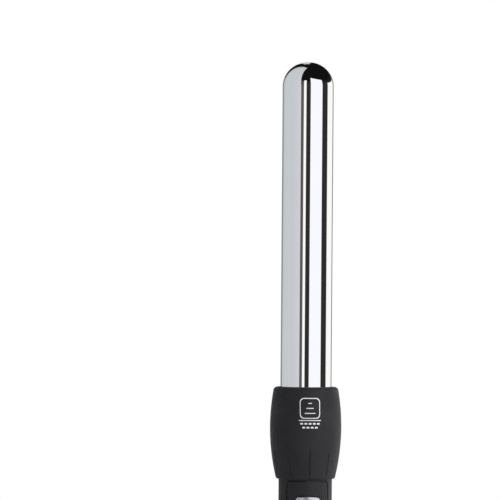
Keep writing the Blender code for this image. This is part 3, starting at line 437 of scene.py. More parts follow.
def make_finishes():
    """One material for each of the record's slots, in a dictionary."""
    return {
        "chrome": chrome_finish(),
        "soft_rubber": soft_rubber_finish(),
        "handle_plastic": spark_finish("handle_plastic", colours().plastic, 0.44, 0.3 * MM, 0.06 * MM),
        "panel_plastic": spark_finish("panel_plastic", colours().panel, 0.38, 0.2 * MM, 0.02 * MM),
        "satin_silver": satin_silver_finish(),
        "smoked_lens": smoked_lens_finish(),
        "lcd": lcd_finish(),
        "print_ink": ink_finish(),
        "heatproof_plastic": glass_filled_finish(),
        "ceramic": ceramic_finish(),
        "aluminium": drawn_metal_finish("extruded_aluminium", (0.72, 0.73, 0.75), 0.3, (1.0, 1.0, 40.0)),
        "steel": drawn_metal_finish("zinc_plated_steel", (0.56, 0.56, 0.58), 0.26, (6.0, 6.0, 1.0)),
        "brass": drawn_metal_finish("contact_brass", (0.8, 0.6, 0.27), 0.2, (1.0, 1.0, 12.0)),
        "board_green": circuit_board_finish(),
        "component_black": moulded_finish("component_black", (0.028, 0.028, 0.03), 0.45),
        "capacitor_yellow": moulded_finish("capacitor_yellow", (0.72, 0.5, 0.07), 0.38),
        "lead_red": silicone_finish("lead_red", (0.5, 0.04, 0.03)),
        "lead_white": silicone_finish("lead_white", (0.78, 0.78, 0.75)),
        "lead_blue": silicone_finish("lead_blue", (0.04, 0.1, 0.42)),
    }


FINISHES = {}


# ---------------------------------------------------------------- mesh tools

def spaced(first, last, count):
    return [first + (last - first) * i / (count - 1) for i in range(count)]


def on_circle(radius, bearing, height):
    return (radius * math.cos(bearing), radius * math.sin(bearing), height)


def arc(centre, radius, start, end, count):
    """(x, y) points on an arc, with its angles in degrees."""
    angles = [math.radians(a) for a in spaced(start, end, count)]
    return [(centre[0] + radius * math.cos(a), centre[1] + radius * math.sin(a)) for a in angles]


def smooth_step(share):
    share = min(max(share, 0.0), 1.0)
    return share * share * (3 - 2 * share)


def mesh_of(name, work, recalculate=True):
    """The bmesh as a mesh with outward faces. The bmesh is freed."""
    if recalculate:
        bmesh.ops.recalc_face_normals(work, faces=work.faces)
    mesh = bpy.data.meshes.new(name)
    work.to_mesh(mesh)
    work.free()
    return mesh


def turned(name, profile, bearings=FINE_STEPS, sweep=None, relief=None):
    """Turns a closed (radius, height) profile about Z, all round or over a sweep with flat ends.

    bearings is a number of equal steps or a list of angles. relief(bearing, radius, height) is taken off the
    radius.
    """
    work = bmesh.new()
    start, end = sweep or (0.0, 2 * math.pi)
    if isinstance(bearings, int):
        bearings = spaced(start, end, bearings + 1)[: None if sweep else -1]
    poles = {}
    rows = []
    for bearing in bearings:
        row = []
        for i, (radius, height) in enumerate(profile):
            if radius == 0.0:
                if i not in poles:
                    poles[i] = work.verts.new((0.0, 0.0, height))
                row.append(poles[i])
                continue
            if relief:
                radius -= relief(bearing, radius, height)
            row.append(work.verts.new(on_circle(radius, bearing, height)))
        rows.append(row)
    following = rows[1:] if sweep else rows[1:] + rows[:1]
    for row, after in zip(rows, following):
        for i in range(len(profile)):
            j = (i + 1) % len(profile)
            corners = list(dict.fromkeys((row[i], row[j], after[j], after[i])))
            if len(corners) > 2:
                work.faces.new(corners)
    if sweep:
        work.faces.new(rows[0])
        work.faces.new(rows[-1])
    return mesh_of(name, work)


def rounded_rectangle(width, low, high, corner, per_corner=8):
    """Outline, anticlockwise, centred on x = 0 from y = low to y = high."""
    x = width / 2 - corner
    centres = ((x, low + corner), (x, high - corner), (-x, high - corner), (-x, low + corner))
    points = []
    for i, centre in enumerate(centres):
        points += arc(centre, corner, 90 * (i - 1), 90 * i, per_corner)
    return points


def arched_plate(width, low, high, corner, rise, per_corner=8):
    """A rounded rectangle whose upper edge is a low arch that ends at y = high."""
    outline = rounded_rectangle(width, low, high - rise, corner, per_corner)
    half_chord = width / 2 - corner
    radius = (half_chord**2 + rise**2) / (2 * rise)
    spread = math.degrees(math.asin(half_chord / radius))
    crown = arc((0.0, high - radius), radius, 90 - spread, 90 + spread, 15)[1:-1]
    upper_right = 2 * per_corner
    return outline[:upper_right] + crown + outline[upper_right:]


def circle(centre, radius, count=48):
    return arc(centre, radius, 0, 360 * (1 - 1 / count), count)


def bar_outline(centre, width, height):
    """A bar with round ends, anticlockwise."""
    corner = min(width, height) / 2 * 0.98
    middle = centre[1]
    outline = rounded_rectangle(width, middle - height / 2, middle + height / 2, corner, 6)
    return [(x + centre[0], y) for x, y in outline]


def open_ring(radius, line, start, end):
    """Outline of an open ring about the origin, with round ends, between two angles in degrees."""
    first, last = (on_circle(radius, math.radians(a), 0.0)[:2] for a in (start, end))
    outline = arc((0.0, 0.0), radius + line / 2, start, end, 40)
    outline += arc(last, line / 2, end, end + 180, 8)[1:-1]
    outline += arc((0.0, 0.0), radius - line / 2, end, start, 40)
    outline += arc(first, line / 2, start + 180, start + 360, 8)[1:-1]
    return outline


def plus_outline(reach, line):
    """Outline of a plus sign about the origin, anticlockwise."""
    a, b = reach / 2, line / 2
    quarter = [(a, -b), (a, b), (b, b)]
    points = []
    for c, s in ((1, 0), (0, 1), (-1, 0), (0, -1)):
        points += [(x * c - y * s, x * s + y * c) for x, y in quarter]
    return points


def plate(name, outlines, thickness, edge, place, grid=BEND_GRID):
    """A plate cut from flat outlines, with rounded edges, laid on a curved surface.

    Outlines run anticlockwise and holes clockwise. place(u, v, depth) gives the point at that depth under the
    plate's face. grid is how far apart the plate is divided across and along, so that it bends smoothly.
    """
    curve = bpy.data.curves.new(name, "CURVE")
    curve.dimensions = "2D"
    curve.fill_mode = "BOTH"
    curve.extrude = thickness / 2 - edge
    curve.bevel_depth = edge
    curve.bevel_resolution = 2
    curve.offset = -edge
    for outline in outlines:
        spline = curve.splines.new("POLY")
        spline.points.add(len(outline) - 1)
        for point, (u, v) in zip(spline.points, outline):
            point.co = (u, v, 0.0, 1.0)
        spline.use_cyclic_u = True
    flat = bpy.data.objects.new(name, curve)
    bpy.context.scene.collection.objects.link(flat)
    work = bmesh.new()
    work.from_mesh(baked(flat))
    bmesh.ops.remove_doubles(work, verts=work.verts, dist=SHORTEST_EDGE)
    for axis, step in enumerate(grid):
        low = min(v.co[axis] for v in work.verts)
        high = max(v.co[axis] for v in work.verts)
        normal = Vector((axis == 0, axis == 1, 0))
        for level in spaced(low, high, max(3, math.ceil((high - low) / step) + 1))[1:-1]:
            bmesh.ops.bisect_plane(
                work, geom=[*work.verts, *work.edges, *work.faces], plane_co=normal * level, plane_no=normal
            )
    bmesh.ops.dissolve_degenerate(work, dist=SHORTEST_EDGE, edges=work.edges)
    for vertex in work.verts:
        u, v, height = vertex.co
        vertex.co = place(u, v, thickness / 2 - height)
    return mesh_of(name, work)


def baked(obj):
    """The object's evaluated mesh. The object is removed."""
    bpy.context.view_layer.update()
    graph = bpy.context.evaluated_depsgraph_get()
    mesh = bpy.data.meshes.new_from_object(obj.evaluated_get(graph))
    bpy.data.objects.remove(obj, do_unlink=True)
    return mesh


def worker(mesh):
    """A loose object for modifiers to work on."""
    obj = bpy.data.objects.new(mesh.name, mesh)
    bpy.context.scene.collection.objects.link(obj)
    return obj


def carve(mesh, cutters, operation="DIFFERENCE"):
    """The mesh with the cutter meshes taken from it, or joined to it by "UNION"."""
    obj = worker(mesh)
    others = [worker(cutter) for cutter in cutters]
    for other in others:
        modifier = obj.modifiers.new("Cut", "BOOLEAN")
        modifier.operation = operation
        modifier.object = other
        modifier.solver = "EXACT"
    result = baked(obj)
    for other in others:
        bpy.data.objects.remove(other, do_unlink=True)
    return result


def bevelled(mesh, width, segments=3, limit=35):
    """The mesh with its sharp edges rounded."""
    obj = worker(mesh)
    modifier = obj.modifiers.new("Round", "BEVEL")
    modifier.width = width
    modifier.segments = segments
    modifier.limit_method = "ANGLE"
    modifier.angle_limit = math.radians(limit)
    return baked(obj)


def box_mesh(name, low, high):
    """A box between two corners."""
    work = bmesh.new()
    bmesh.ops.create_cube(work, size=1.0)
    size, centre = Vector(high) - Vector(low), (Vector(high) + Vector(low)) / 2
    work.transform(Matrix.Translation(centre) @ Matrix.Diagonal((*size, 1.0)))
    return mesh_of(name, work)


def tipped(mesh, quarters, place):
    """Turns a mesh made about +Z, by 1 quarter to face the front or -1 to face the back, and moves it."""
    mesh.transform(Matrix.Translation(place) @ Matrix.Rotation(quarters * math.pi / 2, 4, "X"))
    return mesh


def finish_piece(name, mesh, body, slot, replaces=(), sharp=35, material=None):
    """Makes the mesh a piece: shaded, named, riding on its body."""
    mesh.name = name
    mesh.materials.clear()
    mesh.materials.append(material or FINISHES[slot])
    mesh.shade_smooth()
    mesh.set_sharp_from_angle(angle=math.radians(sharp))
    obj = bpy.data.objects.new(name, mesh)
    bpy.context.scene.collection.objects.link(obj)
    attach(obj, body)
    if replaces:
        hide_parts(*replaces)
    return obj


# ---------------------------------------------------------------- geometry node trees

def node_group(name, inputs):
    """A geometry tree with named inputs, as a Nodes builder, and its input values by name."""
    tree = bpy.data.node_groups.new(name, "GeometryNodeTree")
    tree.interface.new_socket("Geometry", in_out="INPUT", socket_type="NodeSocketGeometry")
    for label, kind in inputs.items():
        tree.interface.new_socket(label, in_out="INPUT", socket_type=f"NodeSocket{kind}")
    tree.interface.new_socket("Geometry", in_out="OUTPUT", socket_type="NodeSocketGeometry")
    nodes = Nodes(tree)
    entry = tree.nodes.new("NodeGroupInput")
    return nodes, {socket.name: Value(nodes, socket) for socket in entry.outputs if socket.name}


def close_group(nodes, geometry, material):
    """Ends a tree in Realize Instances and Set Material."""
    real = nodes.add("GeometryNodeRealizeInstances", None, {"Geometry": geometry})
    dressed = nodes.add("GeometryNodeSetMaterial", None, {"Geometry": real, "Material": material})
    leave = nodes.tree.nodes.new("NodeGroupOutput")
    nodes.feed(leave.inputs["Geometry"], dressed)
    return nodes.tree


def ring_of_copies():
    """Copies of a piece round the axis, each turned to face outwards."""
    sizes = {"Count": "Int", "Radius": "Float", "Height": "Float", "First": "Float"}
    nodes, given = node_group("ring_of_copies", {"Piece": "Object", **sizes, "Finish": "Material"})
    ring = nodes.add("GeometryNodeMeshCircle", None, {"Vertices": given["Count"], "Radius": given["Radius"]})
    lift = nodes.add("ShaderNodeCombineXYZ", None, {"Z": given["Height"]})
    turn = nodes.add("ShaderNodeCombineXYZ", None, {"Z": given["First"]})
    placed = {"Geometry": ring, "Translation": lift, "Rotation": turn}
    points = nodes.add("GeometryNodeTransform", None, placed)
    place = nodes.add("GeometryNodeInputPosition")
    flat = nodes.add("ShaderNodeVectorMath", {"operation": "MULTIPLY"}, {0: place, 1: (1.0, 1.0, 0.0)})
    outwards = nodes.add("FunctionNodeAlignRotationToVector", {"axis": "X"}, {"Vector": flat})
    piece = nodes.add("GeometryNodeObjectInfo", None, {"Object": given["Piece"]}, "Geometry")
    copies = nodes.add(
        "GeometryNodeInstanceOnPoints", None, {"Points": points, "Instance": piece, "Rotation": outwards}
    )
    return close_group(nodes, copies, given["Finish"])


def column_of_copies():
    """Copies of a piece up the wand, one step apart."""
    sizes = {"Count": "Int", "First": "Float", "Step": "Float"}
    nodes, given = node_group("column_of_copies", {"Piece": "Object", **sizes, "Finish": "Material"})
    start = nodes.add("ShaderNodeCombineXYZ", None, {"Z": given["First"]})
    step = nodes.add("ShaderNodeCombineXYZ", None, {"Z": given["Step"]})
    points = nodes.add(
        "GeometryNodeMeshLine", None, {"Count": given["Count"], "Start Location": start, "Offset": step}
    )
    piece = nodes.add("GeometryNodeObjectInfo", None, {"Object": given["Piece"]}, "Geometry")
    copies = nodes.add("GeometryNodeInstanceOnPoints", None, {"Points": points, "Instance": piece})
    return close_group(nodes, copies, given["Finish"])


def lit_segments():
    """A hexagonal bar on each point, upright where the point's turn is a quarter turn."""
    sizes = {"Length": "Float", "Width": "Float", "Depth": "Float"}
    nodes, given = node_group("lit_segments", {**sizes, "Finish": "Material"})
    bar = nodes.add("GeometryNodeMeshCylinder", None, {"Vertices": 6, "Radius": 1.0, "Depth": given["Depth"]})
    stretch = {"X": given["Length"] * 0.5, "Y": given["Width"] * HEXAGON, "Z": 1.0}
    half = nodes.add("ShaderNodeCombineXYZ", None, stretch)
    flat = nodes.add("GeometryNodeTransform", None, {"Geometry": bar, "Scale": half})
    solid = nodes.add("GeometryNodeTransform", None, {"Geometry": flat, "Rotation": (math.pi / 2, 0.0, 0.0)})
    turn = nodes.add("GeometryNodeInputNamedAttribute", {"data_type": "FLOAT"}, {"Name": "turn"})
    rotation = nodes.add("ShaderNodeCombineXYZ", None, {"Y": turn})
    sockets = {"Points": given["Geometry"], "Instance": solid, "Rotation": rotation}
    copies = nodes.add("GeometryNodeInstanceOnPoints", None, sockets)
    return close_group(nodes, copies, given["Finish"])


def grown(name, tree, values, seed_mesh=None):
    """What a geometry tree makes of the given input values, as a plain mesh."""
    obj = worker(seed_mesh or bpy.data.meshes.new(name))
    modifier = obj.modifiers.new("Build", "NODES")
    modifier.node_group = tree
    sockets = {item.name: item.identifier for item in tree.interface.items_tree if item.in_out == "INPUT"}
    for label, value in values.items():
        modifier[sockets[label]] = value
    return baked(obj)


def copies_round(name, piece, slot, count, radius, height, first):
    """A ring of copies of a mesh about the axis."""
    source = worker(piece)
    values = {"Piece": source, "Count": count, "Radius": radius, "Height": height, "First": first}
    mesh = grown(name, ring_of_copies(), {**values, "Finish": FINISHES[slot]})
    bpy.data.objects.remove(source, do_unlink=True)
    return mesh


# ---------------------------------------------------------------- outline of the wand

def handle_radius(z):
    """Outer radius of the handle: straight under the collar, a low swell at the palm, slimmer at the foot."""
    palm, straight = shape().palm_height, shape().straight_from
    top, widest, foot = HANDLE_RADII
    if z >= palm:
        swell = min(max((straight - z) / (straight - palm), 0), 1)
        return top + (widest - top) * (1 - math.cos(math.pi * swell)) / 2
    fall = min((palm - z) / (palm - top_of("end_cap") + SPIGOT), 1)
    return widest + (foot - widest) * (1 - math.cos(math.pi * fall)) / 2


def collar_radius(z):
    """Outer radius of the collar, whose side follows an arc."""
    belt = node_radius("collar_sleeve")
    return belt - (z - shape().belt_height) ** 2 / (2 * shape().collar_crown)


def on_handle(proud):
    """Lays a plate on the handle's front, proud of it by that much. u is X and v is the height."""

    def place(u, v, depth):
        return Vector((u, -math.sqrt((handle_radius(v) + proud - depth) ** 2 - u * u), v))

    return place


def on_collar(proud):
    """Wraps a print round the collar's front, proud of it by that much."""

    def place(u, v, depth):
        radius = collar_radius(v)
        return Vector(on_circle(radius + proud - depth, FRONT + u / radius, v))

    return place


# ---------------------------------------------------------------- barrel and collar

def build_barrel():
    """Chrome tube with its closed domed tip, open at the hidden foot."""
    radius, wall = node_radius("barrel_tube"), shape().barrel_wall
    foot, tip = foot_of("barrel_tube"), top_of("barrel_tube")
    dome_foot = tip - shape().dome_height
    quarter = [math.radians(a) for a in spaced(90, 0, 40)]
    chamfer = 0.3 * MM

    def dome(r, h):
        points = [(r * math.cos(a), dome_foot + h * math.sin(a)) for a in quarter]
        points[0] = (0.0, dome_foot + h)
        return points

    outer = dome(radius, shape().dome_height)
    inner = dome(radius - wall, shape().dome_height - wall)
    side = [(radius, z) for z in spaced(dome_foot, foot + chamfer, 24)[1:]]
    rim = [(radius - chamfer, foot), (radius - wall, foot)]
    mesh = turned("barrel", outer + side + rim + inner[::-1])
    finish_piece("barrel", mesh, "barrel_unit", "chrome", ["barrel_tube"])


def groove_relief(bearing, radius, height):
    """How deep a grip groove is at a place on the collar's outer side."""
    near_surface = 0.2 * MM
    if radius < collar_radius(height) - near_surface:
        return 0.0
    spacing = 2 * math.pi / shape().groove_count
    off = (bearing - FRONT + spacing / 2) % spacing - spacing / 2
    across = abs(off) * radius / (shape().groove_width / 2)
    if across >= 1:
        return 0.0
    start = smooth_step((height - GROOVE_Z[0]) / GROOVE_START)
    run_out = smooth_step((GROOVE_Z[1] - height) / GROOVE_RUN_OUT)
    return shape().groove_depth * (1 - across * across) ** 2 * start * run_out


def collar_bearings():
    """Angles round the collar, close together across each groove."""
    spacing = 2 * math.pi / shape().groove_count
    slimmest = 15.0 * MM
    fine = 1.25 * shape().groove_width / 2 / slimmest
    steps = spaced(-fine, fine, 15) + spaced(fine, spacing - fine, 12)[1:-1]
    return [FRONT + spacing * i + step for i in range(shape().groove_count) for step in steps]


def build_collar():
    """Soft sleeve of the collar with its grip grooves and its hooked lips."""
    foot, top = foot_of("collar_sleeve"), top_of("collar_sleeve")
    round_top, round_foot = shape().collar_top_round, shape().collar_foot_round
    gap, soft, lip, lip_depth = 0.35 * MM, 0.35 * MM, 1.2 * MM, 1.6 * MM
    mouth = node_radius("barrel_tube") + gap
    rim = HANDLE_RADII[0] + gap
    hook = NECK_RADIUS + 0.65 * MM
    top_turn, foot_turn = top - round_top, foot + round_foot
    profile = arc((mouth + soft, top - soft), soft, 180, 90, 5)
    profile += arc((collar_radius(top_turn) - round_top, top_turn), round_top, 90, 0, 12)
    profile += [(collar_radius(z), z) for z in spaced(top_turn, foot_turn, 76)[1:-1]]
    profile += arc((collar_radius(foot_turn) - round_foot, foot_turn), round_foot, 0, -80, 9)
    soft_foot = soft * 0.6
    profile += arc((rim + soft_foot, foot + soft_foot), soft_foot, -90, -180, 4)
    profile += [(rim, foot + lip), (hook, foot + lip), (hook, foot + 2 * lip)]
    under_lip = top - lip_depth
    inside = spaced(foot + 2 * lip, under_lip - round_top / 2, 10)
    profile += [(collar_radius(z) - SLEEVE_WALL, z) for z in inside]
    profile += [(collar_radius(inside[-1]) - SLEEVE_WALL - round_top / 2, under_lip), (mouth, under_lip)]
    mesh = turned("collar", profile, collar_bearings(), relief=groove_relief)
    finish_piece("collar", mesh, "barrel_unit", "soft_rubber", ["collar_sleeve"], sharp=40)


def build_collar_mark():
    """Plain printed mark: a rounded square round three bars, a rule, and two rows of dashes."""
    middle, reach = shape().mark_height, shape().mark_reach
    outer, inner = (
        rounded_rectangle(2 * half, middle - half, middle + half, half * 0.4)
        for half in (reach + PRINT_LINE / 2, reach - PRINT_LINE / 2)
    )
    outlines = [outer, inner[::-1]]
    bar_lengths, bar_pitch = (0.4 * reach, 0.75 * reach, 1.1 * reach), 0.5 * reach
    for i, bar in enumerate(bar_lengths):
        outlines.append(bar_outline((0.0, middle + (1 - i) * bar_pitch), bar, PRINT_LINE))
    rule, rule_line, rule_z = 2.3 * reach, 0.4 * MM, middle - reach - 1.1 * MM
    outlines.append(bar_outline((0.0, rule_z), rule, rule_line))
    dash, dash_gap, dash_height = 1.5 * MM, 0.6 * MM, 0.85 * MM
    first_row, row_pitch = rule_z - 1.6 * MM, 1.9 * MM
    for row, count in enumerate((5, 4)):
        z = first_row - row_pitch * row
        for i in range(count):
            x = (i - (count - 1) / 2) * (dash + dash_gap)
            outlines.append(bar_outline((x, z), dash, dash_height))
    film, proud = 0.05 * MM, 0.035 * MM
    mesh = plate("collar_mark", outlines, film, film / 5, on_collar(proud), PRINT_GRID)
    finish_piece("collar_mark", mesh, "barrel_unit", "print_ink")


# ---------------------------------------------------------------- handle

def shell_profile():
    """Section through a handle shell: neck, shoulder, grip, and the seats inside."""
    edge = 0.4 * MM
    foot = foot_of("front_shell")
    outer = arc((handle_radius(SHOULDER) - edge, SHOULDER - edge), edge, 90, 0, 6)
    outer += [(handle_radius(z), z) for z in spaced(SHOULDER - edge, foot + edge, 70)[1:]]
    outer += arc((handle_radius(foot) - edge, foot + edge), edge, 0, -90, 5)[1:]
    clearance, ledge_height, ring_height, taper = 0.3 * MM, 2.2 * MM, 2.6 * MM, 2 * MM
    seat_top = top_of("end_cap") + 2 * clearance
    ledge_top = foot_of("contact_block") - clearance
    ledge_foot = ledge_top - ledge_height
    inner = [(handle_radius(z) - SHELL_WALL, z) for z in spaced(seat_top, ledge_foot - taper, 24)]
    ring_low, ring_high = top_of("lock_ring") - ring_height, top_of("lock_ring") + clearance
    ring_seat = node_radius("lock_ring") + clearance
    top = top_of("front_shell")
    neck = [(LEDGE_RADIUS, ledge_foot), (LEDGE_RADIUS, ledge_top), (NECK_BORE, ledge_top)]
    neck += [(NECK_BORE, ring_low), (ring_seat, ring_low), (ring_seat, ring_high), (NECK_BORE, ring_high)]
    neck += [(NECK_BORE, top)]
    outside = [(NECK_RADIUS, top), (NECK_RADIUS, SHOULDER)]
    return outside + outer + [(CAP_SEAT_RADIUS, foot), (CAP_SEAT_RADIUS, seat_top)] + inner + neck


def half_shell(name, middle):
    """Half of the handle about a bearing, with the outer edges of its parting faces eased."""
    parting_gap = 0.02 * MM
    half = math.pi / 2 - parting_gap / HANDLE_RADII[0]
    ease = shape().seam_width / 2 / HANDLE_RADII[0]
    near_surface, depth = 0.5 * MM, shape().seam_width * 0.6
    sweep = (middle - half, middle + half)
    edges = [half - ease * share for share in (0.0, 0.35, 0.7, 1.0)]
    steps = [-edge for edge in edges] + spaced(-edges[-1], edges[-1], 90)[1:-1] + edges[::-1]

    def groove(bearing, radius, height):
        if radius < handle_radius(height) - near_surface or height > SHOULDER:
            return 0.0
        near = max(0.0, 1 - (half - abs(bearing - middle)) / ease)
        return depth * near**1.5

    return turned(name, shell_profile(), [middle + step for step in steps], sweep, groove)


def front_of(node):
    """Width, foot and top of a node that faces the front."""
    low, high = BOXES[node]
    return high.x - low.x, low.z, high.z


def screw_heights():
    """Heights of the two shell screws on the wand's axis."""
    return [(foot_of(node) + top_of(node)) / 2 for node in ("shell_screw_1", "shell_screw_2")]


def build_front_shell():
    """Front half with the recess that the control panel lies in, and the window behind it."""
    width, low, high = front_of("control_panel")
    gap, side_ledge, end_ledge = 0.42 * MM, 1.75 * MM, 2.6 * MM
    recess = rounded_rectangle(width + 2 * gap, low - gap, high + gap, PANEL_CORNER + gap)
    above, depth = 1.5 * MM, 1.5 * MM
    pocket = plate("pocket", [recess], above + depth, 0.0, on_handle(above), (1.0 * MM, 4.0 * MM))
    window = rounded_rectangle(width - 2 * side_ledge, low + end_ledge, high - end_ledge, PANEL_CORNER)
    outside, reach = 18 * MM, 16 * MM

    def straight_in(u, v, depth):
        return Vector((u, depth - outside, v))

    opening = plate("window", [window], reach, 0.0, straight_in, (0.7 * MM, 3.0 * MM))
    mesh = carve(half_shell("front", FRONT), [pocket, opening])
    finish_piece("handle_front", mesh, "handle", "handle_plastic", ["front_shell"], sharp=32)


def build_rear_shell():
    """Rear half with its two screw bosses and seats."""
    mesh = half_shell("rear", -FRONT)
    bosses, holes = [], []
    boss_radius, boss_end, floor = 2.8 * MM, 0.3 * MM, 4.0 * MM
    seat, bore, mouth, flare = 1.8 * MM, 1.1 * MM, 2.1 * MM, 2.9 * MM
    for z in screw_heights():
        surface = handle_radius(z)
        inside, outside = surface - 1 * MM, surface + 2 * MM
        boss = [(0.0, inside), (boss_radius, inside), (boss_radius, boss_end), (0.0, boss_end)]
        bosses.append(tipped(turned("boss", boss, SMALL_STEPS), -1, (0.0, 0.0, z)))
        hole = [(0.0, outside), (flare, outside), (mouth, surface + 0.05 * MM), (seat, surface - 0.4 * MM)]
        hole += [(seat, floor), (bore, floor), (bore, 0.0), (0.0, 0.0)]
        holes.append(tipped(turned("hole", hole, SMALL_STEPS), -1, (0.0, 0.0, z)))
    mesh = carve(carve(mesh, bosses, "UNION"), holes)
    finish_piece("handle_rear", mesh, "handle", "handle_plastic", ["rear_shell"], sharp=32)


def cross_screw(head, head_height, shank, length):
    """A pan-head screw with a cross recess. Its head's top is at z = 0 and its shank runs down."""
    crown = 0.35 * head_height
    profile = [(0.0, 0.0), (head * 0.55, -crown * 0.2), (head * 0.88, -crown * 0.6), (head, -crown * 1.3)]
    profile += [(head, -head_height), (shank, -head_height)]
    pitch, root = 0.5 * MM, shank * 0.82
    for i in range(int((length - head_height) / pitch) - 1):
        z = -head_height - pitch * (i + 0.5)
        profile += [(root, z), (shank, z - pitch / 2)]
    profile += [(shank * 0.5, -length), (0.0, -length)]
    screw = turned("screw", profile, SMALL_STEPS)
    long, wide, deep = head * 0.55, head * 0.12, head_height * 0.6
    slots = [box_mesh("slot", (-x, -y, -deep), (x, y, head_height)) for x, y in ((long, wide), (wide, long))]
    return carve(screw, slots)


def build_shell_screws():
    """Screws in the rear shell's seats."""
    low, high = BOXES["shell_screw_1"]
    screw = cross_screw(1.5 * MM, 1.5 * MM, 0.8 * MM, high.y - low.y)
    source = worker(tipped(screw, -1, (0.0, high.y, 0.0)))
    first, second = screw_heights()
    values = {"Piece": source, "Count": 2, "First": first, "Step": second - first}
    mesh = grown("shell_screws", column_of_copies(), {**values, "Finish": FINISHES["steel"]})
    bpy.data.objects.remove(source, do_unlink=True)
    finish_piece("shell_screws", mesh, "handle", "steel", ["shell_screw_1", "shell_screw_2"])


# ---------------------------------------------------------------- control panel

def button_facts(name):
    """Radius of a key's face, how far forward it stands, and its height on the axis."""
    low, high = BOXES[f"{name}_button"]
    return (high.x - low.x) / 2 - KEY_FLANGE, -low.y, (low.z + high.z) / 2


def build_panel():
    """The inset panel, with its openings for the display frame and the keys."""
    width, low, high = front_of("control_panel")
    wide, foot, top = front_of("display_bezel")
    gap = 0.2 * MM
    opening = arched_plate(wide + 2 * gap, foot - gap, top + gap, FRAME_CORNER + gap, shape().frame_arch)
    outlines = [rounded_rectangle(width, low, high, PANEL_CORNER), opening[::-1]]
    for name in KEYS:
        radius, _, z = button_facts(name)
        outlines.append(circle((0.0, z), radius + gap)[::-1])
    grid = (0.6 * MM, 2.0 * MM)
    mesh = plate("panel", outlines, PANEL_THICKNESS, shape().panel_edge, on_handle(0.0), grid)
    finish_piece("panel", mesh, "handle", "panel_plastic", ["control_panel"], sharp=30)


def build_display():
    """Silver frame, smoked lens, display film and its lit segments."""
    width, low, high = front_of("display_bezel")
    rim, arch = shape().frame_rim, shape().frame_arch
    thickness, edge, proud, sight_corner = 2.3 * MM, 0.32 * MM, 0.45 * MM, 1.0 * MM
    outer = arched_plate(width, low, high, FRAME_CORNER, arch)
    sight = arched_plate(width - 2 * rim, low + rim, high - rim, sight_corner, arch)
    mesh = plate("frame", [outer, sight[::-1]], thickness, edge, on_handle(proud))
    finish_piece("display_frame", mesh, "handle", "satin_silver", ["display_bezel"], sharp=30)
    thickness, edge, proud, corner, inset = 1.0 * MM, 0.15 * MM, 0.05 * MM, 0.9 * MM, rim + 0.12 * MM
    glass = arched_plate(width - 2 * inset, low + inset, high - inset, corner, arch)
    mesh = plate("lens", [glass], thickness, edge, on_handle(proud))
    finish_piece("display_glass", mesh, "handle", "smoked_lens", ["display_lens"], sharp=30)
    mesh = bevelled(box_mesh("film", *BOXES["display_module"]), 0.25 * MM)
    finish_piece("display_film", mesh, "handle", "lcd", ["display_module"])
    build_segments(BOXES["display_module"][0].y, (low + high) / 2)


def build_segments(face_y, middle_z):
    """Lit segments of a three-figure reading, and a row of three bars under it."""
    stroke, size, pitch, depth = 0.36 * MM, 1.55 * MM, 2.35 * MM, 0.04 * MM
    reading_z, bars_z = middle_z + 3.2 * MM, middle_z - 4.2 * MM
    places = []
    for i, figure in enumerate(READING):
        for segment in SEGMENTS_OF[figure]:
            x, z, upright = SEGMENT_PLACES[segment]
            places.append(((i - 1) * pitch + x * size, reading_z + z * size, upright))
    places += [((i - 1) * pitch, bars_z, 0) for i in range(3)]
    seeds = bpy.data.meshes.new("segment_places")
    seeds.from_pydata([(x, face_y - depth / 2, z) for x, z, _ in places], [], [])
    turns = seeds.attributes.new("turn", "FLOAT", "POINT")
    for item, (_, _, upright) in zip(turns.data, places):
        item.value = upright * math.pi / 2
    ink = segment_finish()
    values = {"Length": size * 0.9, "Width": stroke, "Depth": depth, "Finish": ink}
    mesh = grown("segments", lit_segments(), values, seeds)
    finish_piece("display_segments", mesh, "handle", "component_black", material=ink)


def key_crown(name):
    """Lays a print on a key's domed face."""
    radius, forward, z = button_facts(name)
    proud = 0.03 * MM

    def place(u, v, depth):
        share = math.hypot(u, v) / radius
        return Vector((u, -(forward - KEY_DOME * share**2 + proud - depth), z + v))

    return place


def build_key(name):
    """A round key with a domed face, a hidden flange and the stem that works its switch."""
    radius, forward, z = button_facts(name)
    flange, stem, gap, flange_thickness = radius + KEY_FLANGE, 1.5 * MM, 0.3 * MM, 0.8 * MM
    panel_back = handle_radius(z) - PANEL_THICKNESS
    flange_front = math.sqrt(panel_back**2 - flange**2) - gap
    flange_back = flange_front - flange_thickness
    back = -BOXES[f"{name}_button"][1].y
    face = [(radius * share, forward - KEY_DOME * share**2) for share in spaced(0.0, 0.84, 9)]
    flat_edge, edge_z = face[-1]
    rounding = 0.16 * radius
    for degrees in spaced(15, 90, 6):
        turn = math.radians(degrees)
        face.append((flat_edge + rounding * math.sin(turn), edge_z - rounding + rounding * math.cos(turn)))
    side = [(radius, flange_front), (flange, flange_front), (flange, flange_back)]
    stalk = [(stem, flange_back), (stem, back), (0.0, back)]
    mesh = tipped(turned(name, face + side + stalk, ROUND_STEPS), 1, (0.0, 0.0, z))
    finish_piece(f"{name}_key", mesh, f"{name}_button", "panel_plastic", [f"{name}_button"])


def build_keys():
    """Three round keys and the printed sign on each."""
    film, edge = 0.06 * MM, 0.01 * MM
    for name in KEYS:
        build_key(name)
        radius = button_facts(name)[0]
        reach = radius * 0.95
        stroke = bar_outline((0.0, radius * 0.42), PRINT_LINE, radius * 0.62)
        signs = {
            "plus": [plus_outline(reach, PRINT_LINE)],
            "minus": [bar_outline((0.0, 0.0), reach, PRINT_LINE)],
            "power": [stroke, open_ring(radius * 0.5, PRINT_LINE, 130, 410)],
        }
        mesh = plate("sign", signs[name], film, edge, key_crown(name), PRINT_GRID)
        finish_piece(f"{name}_sign", mesh, f"{name}_button", "print_ink")


# ---------------------------------------------------------------- foot

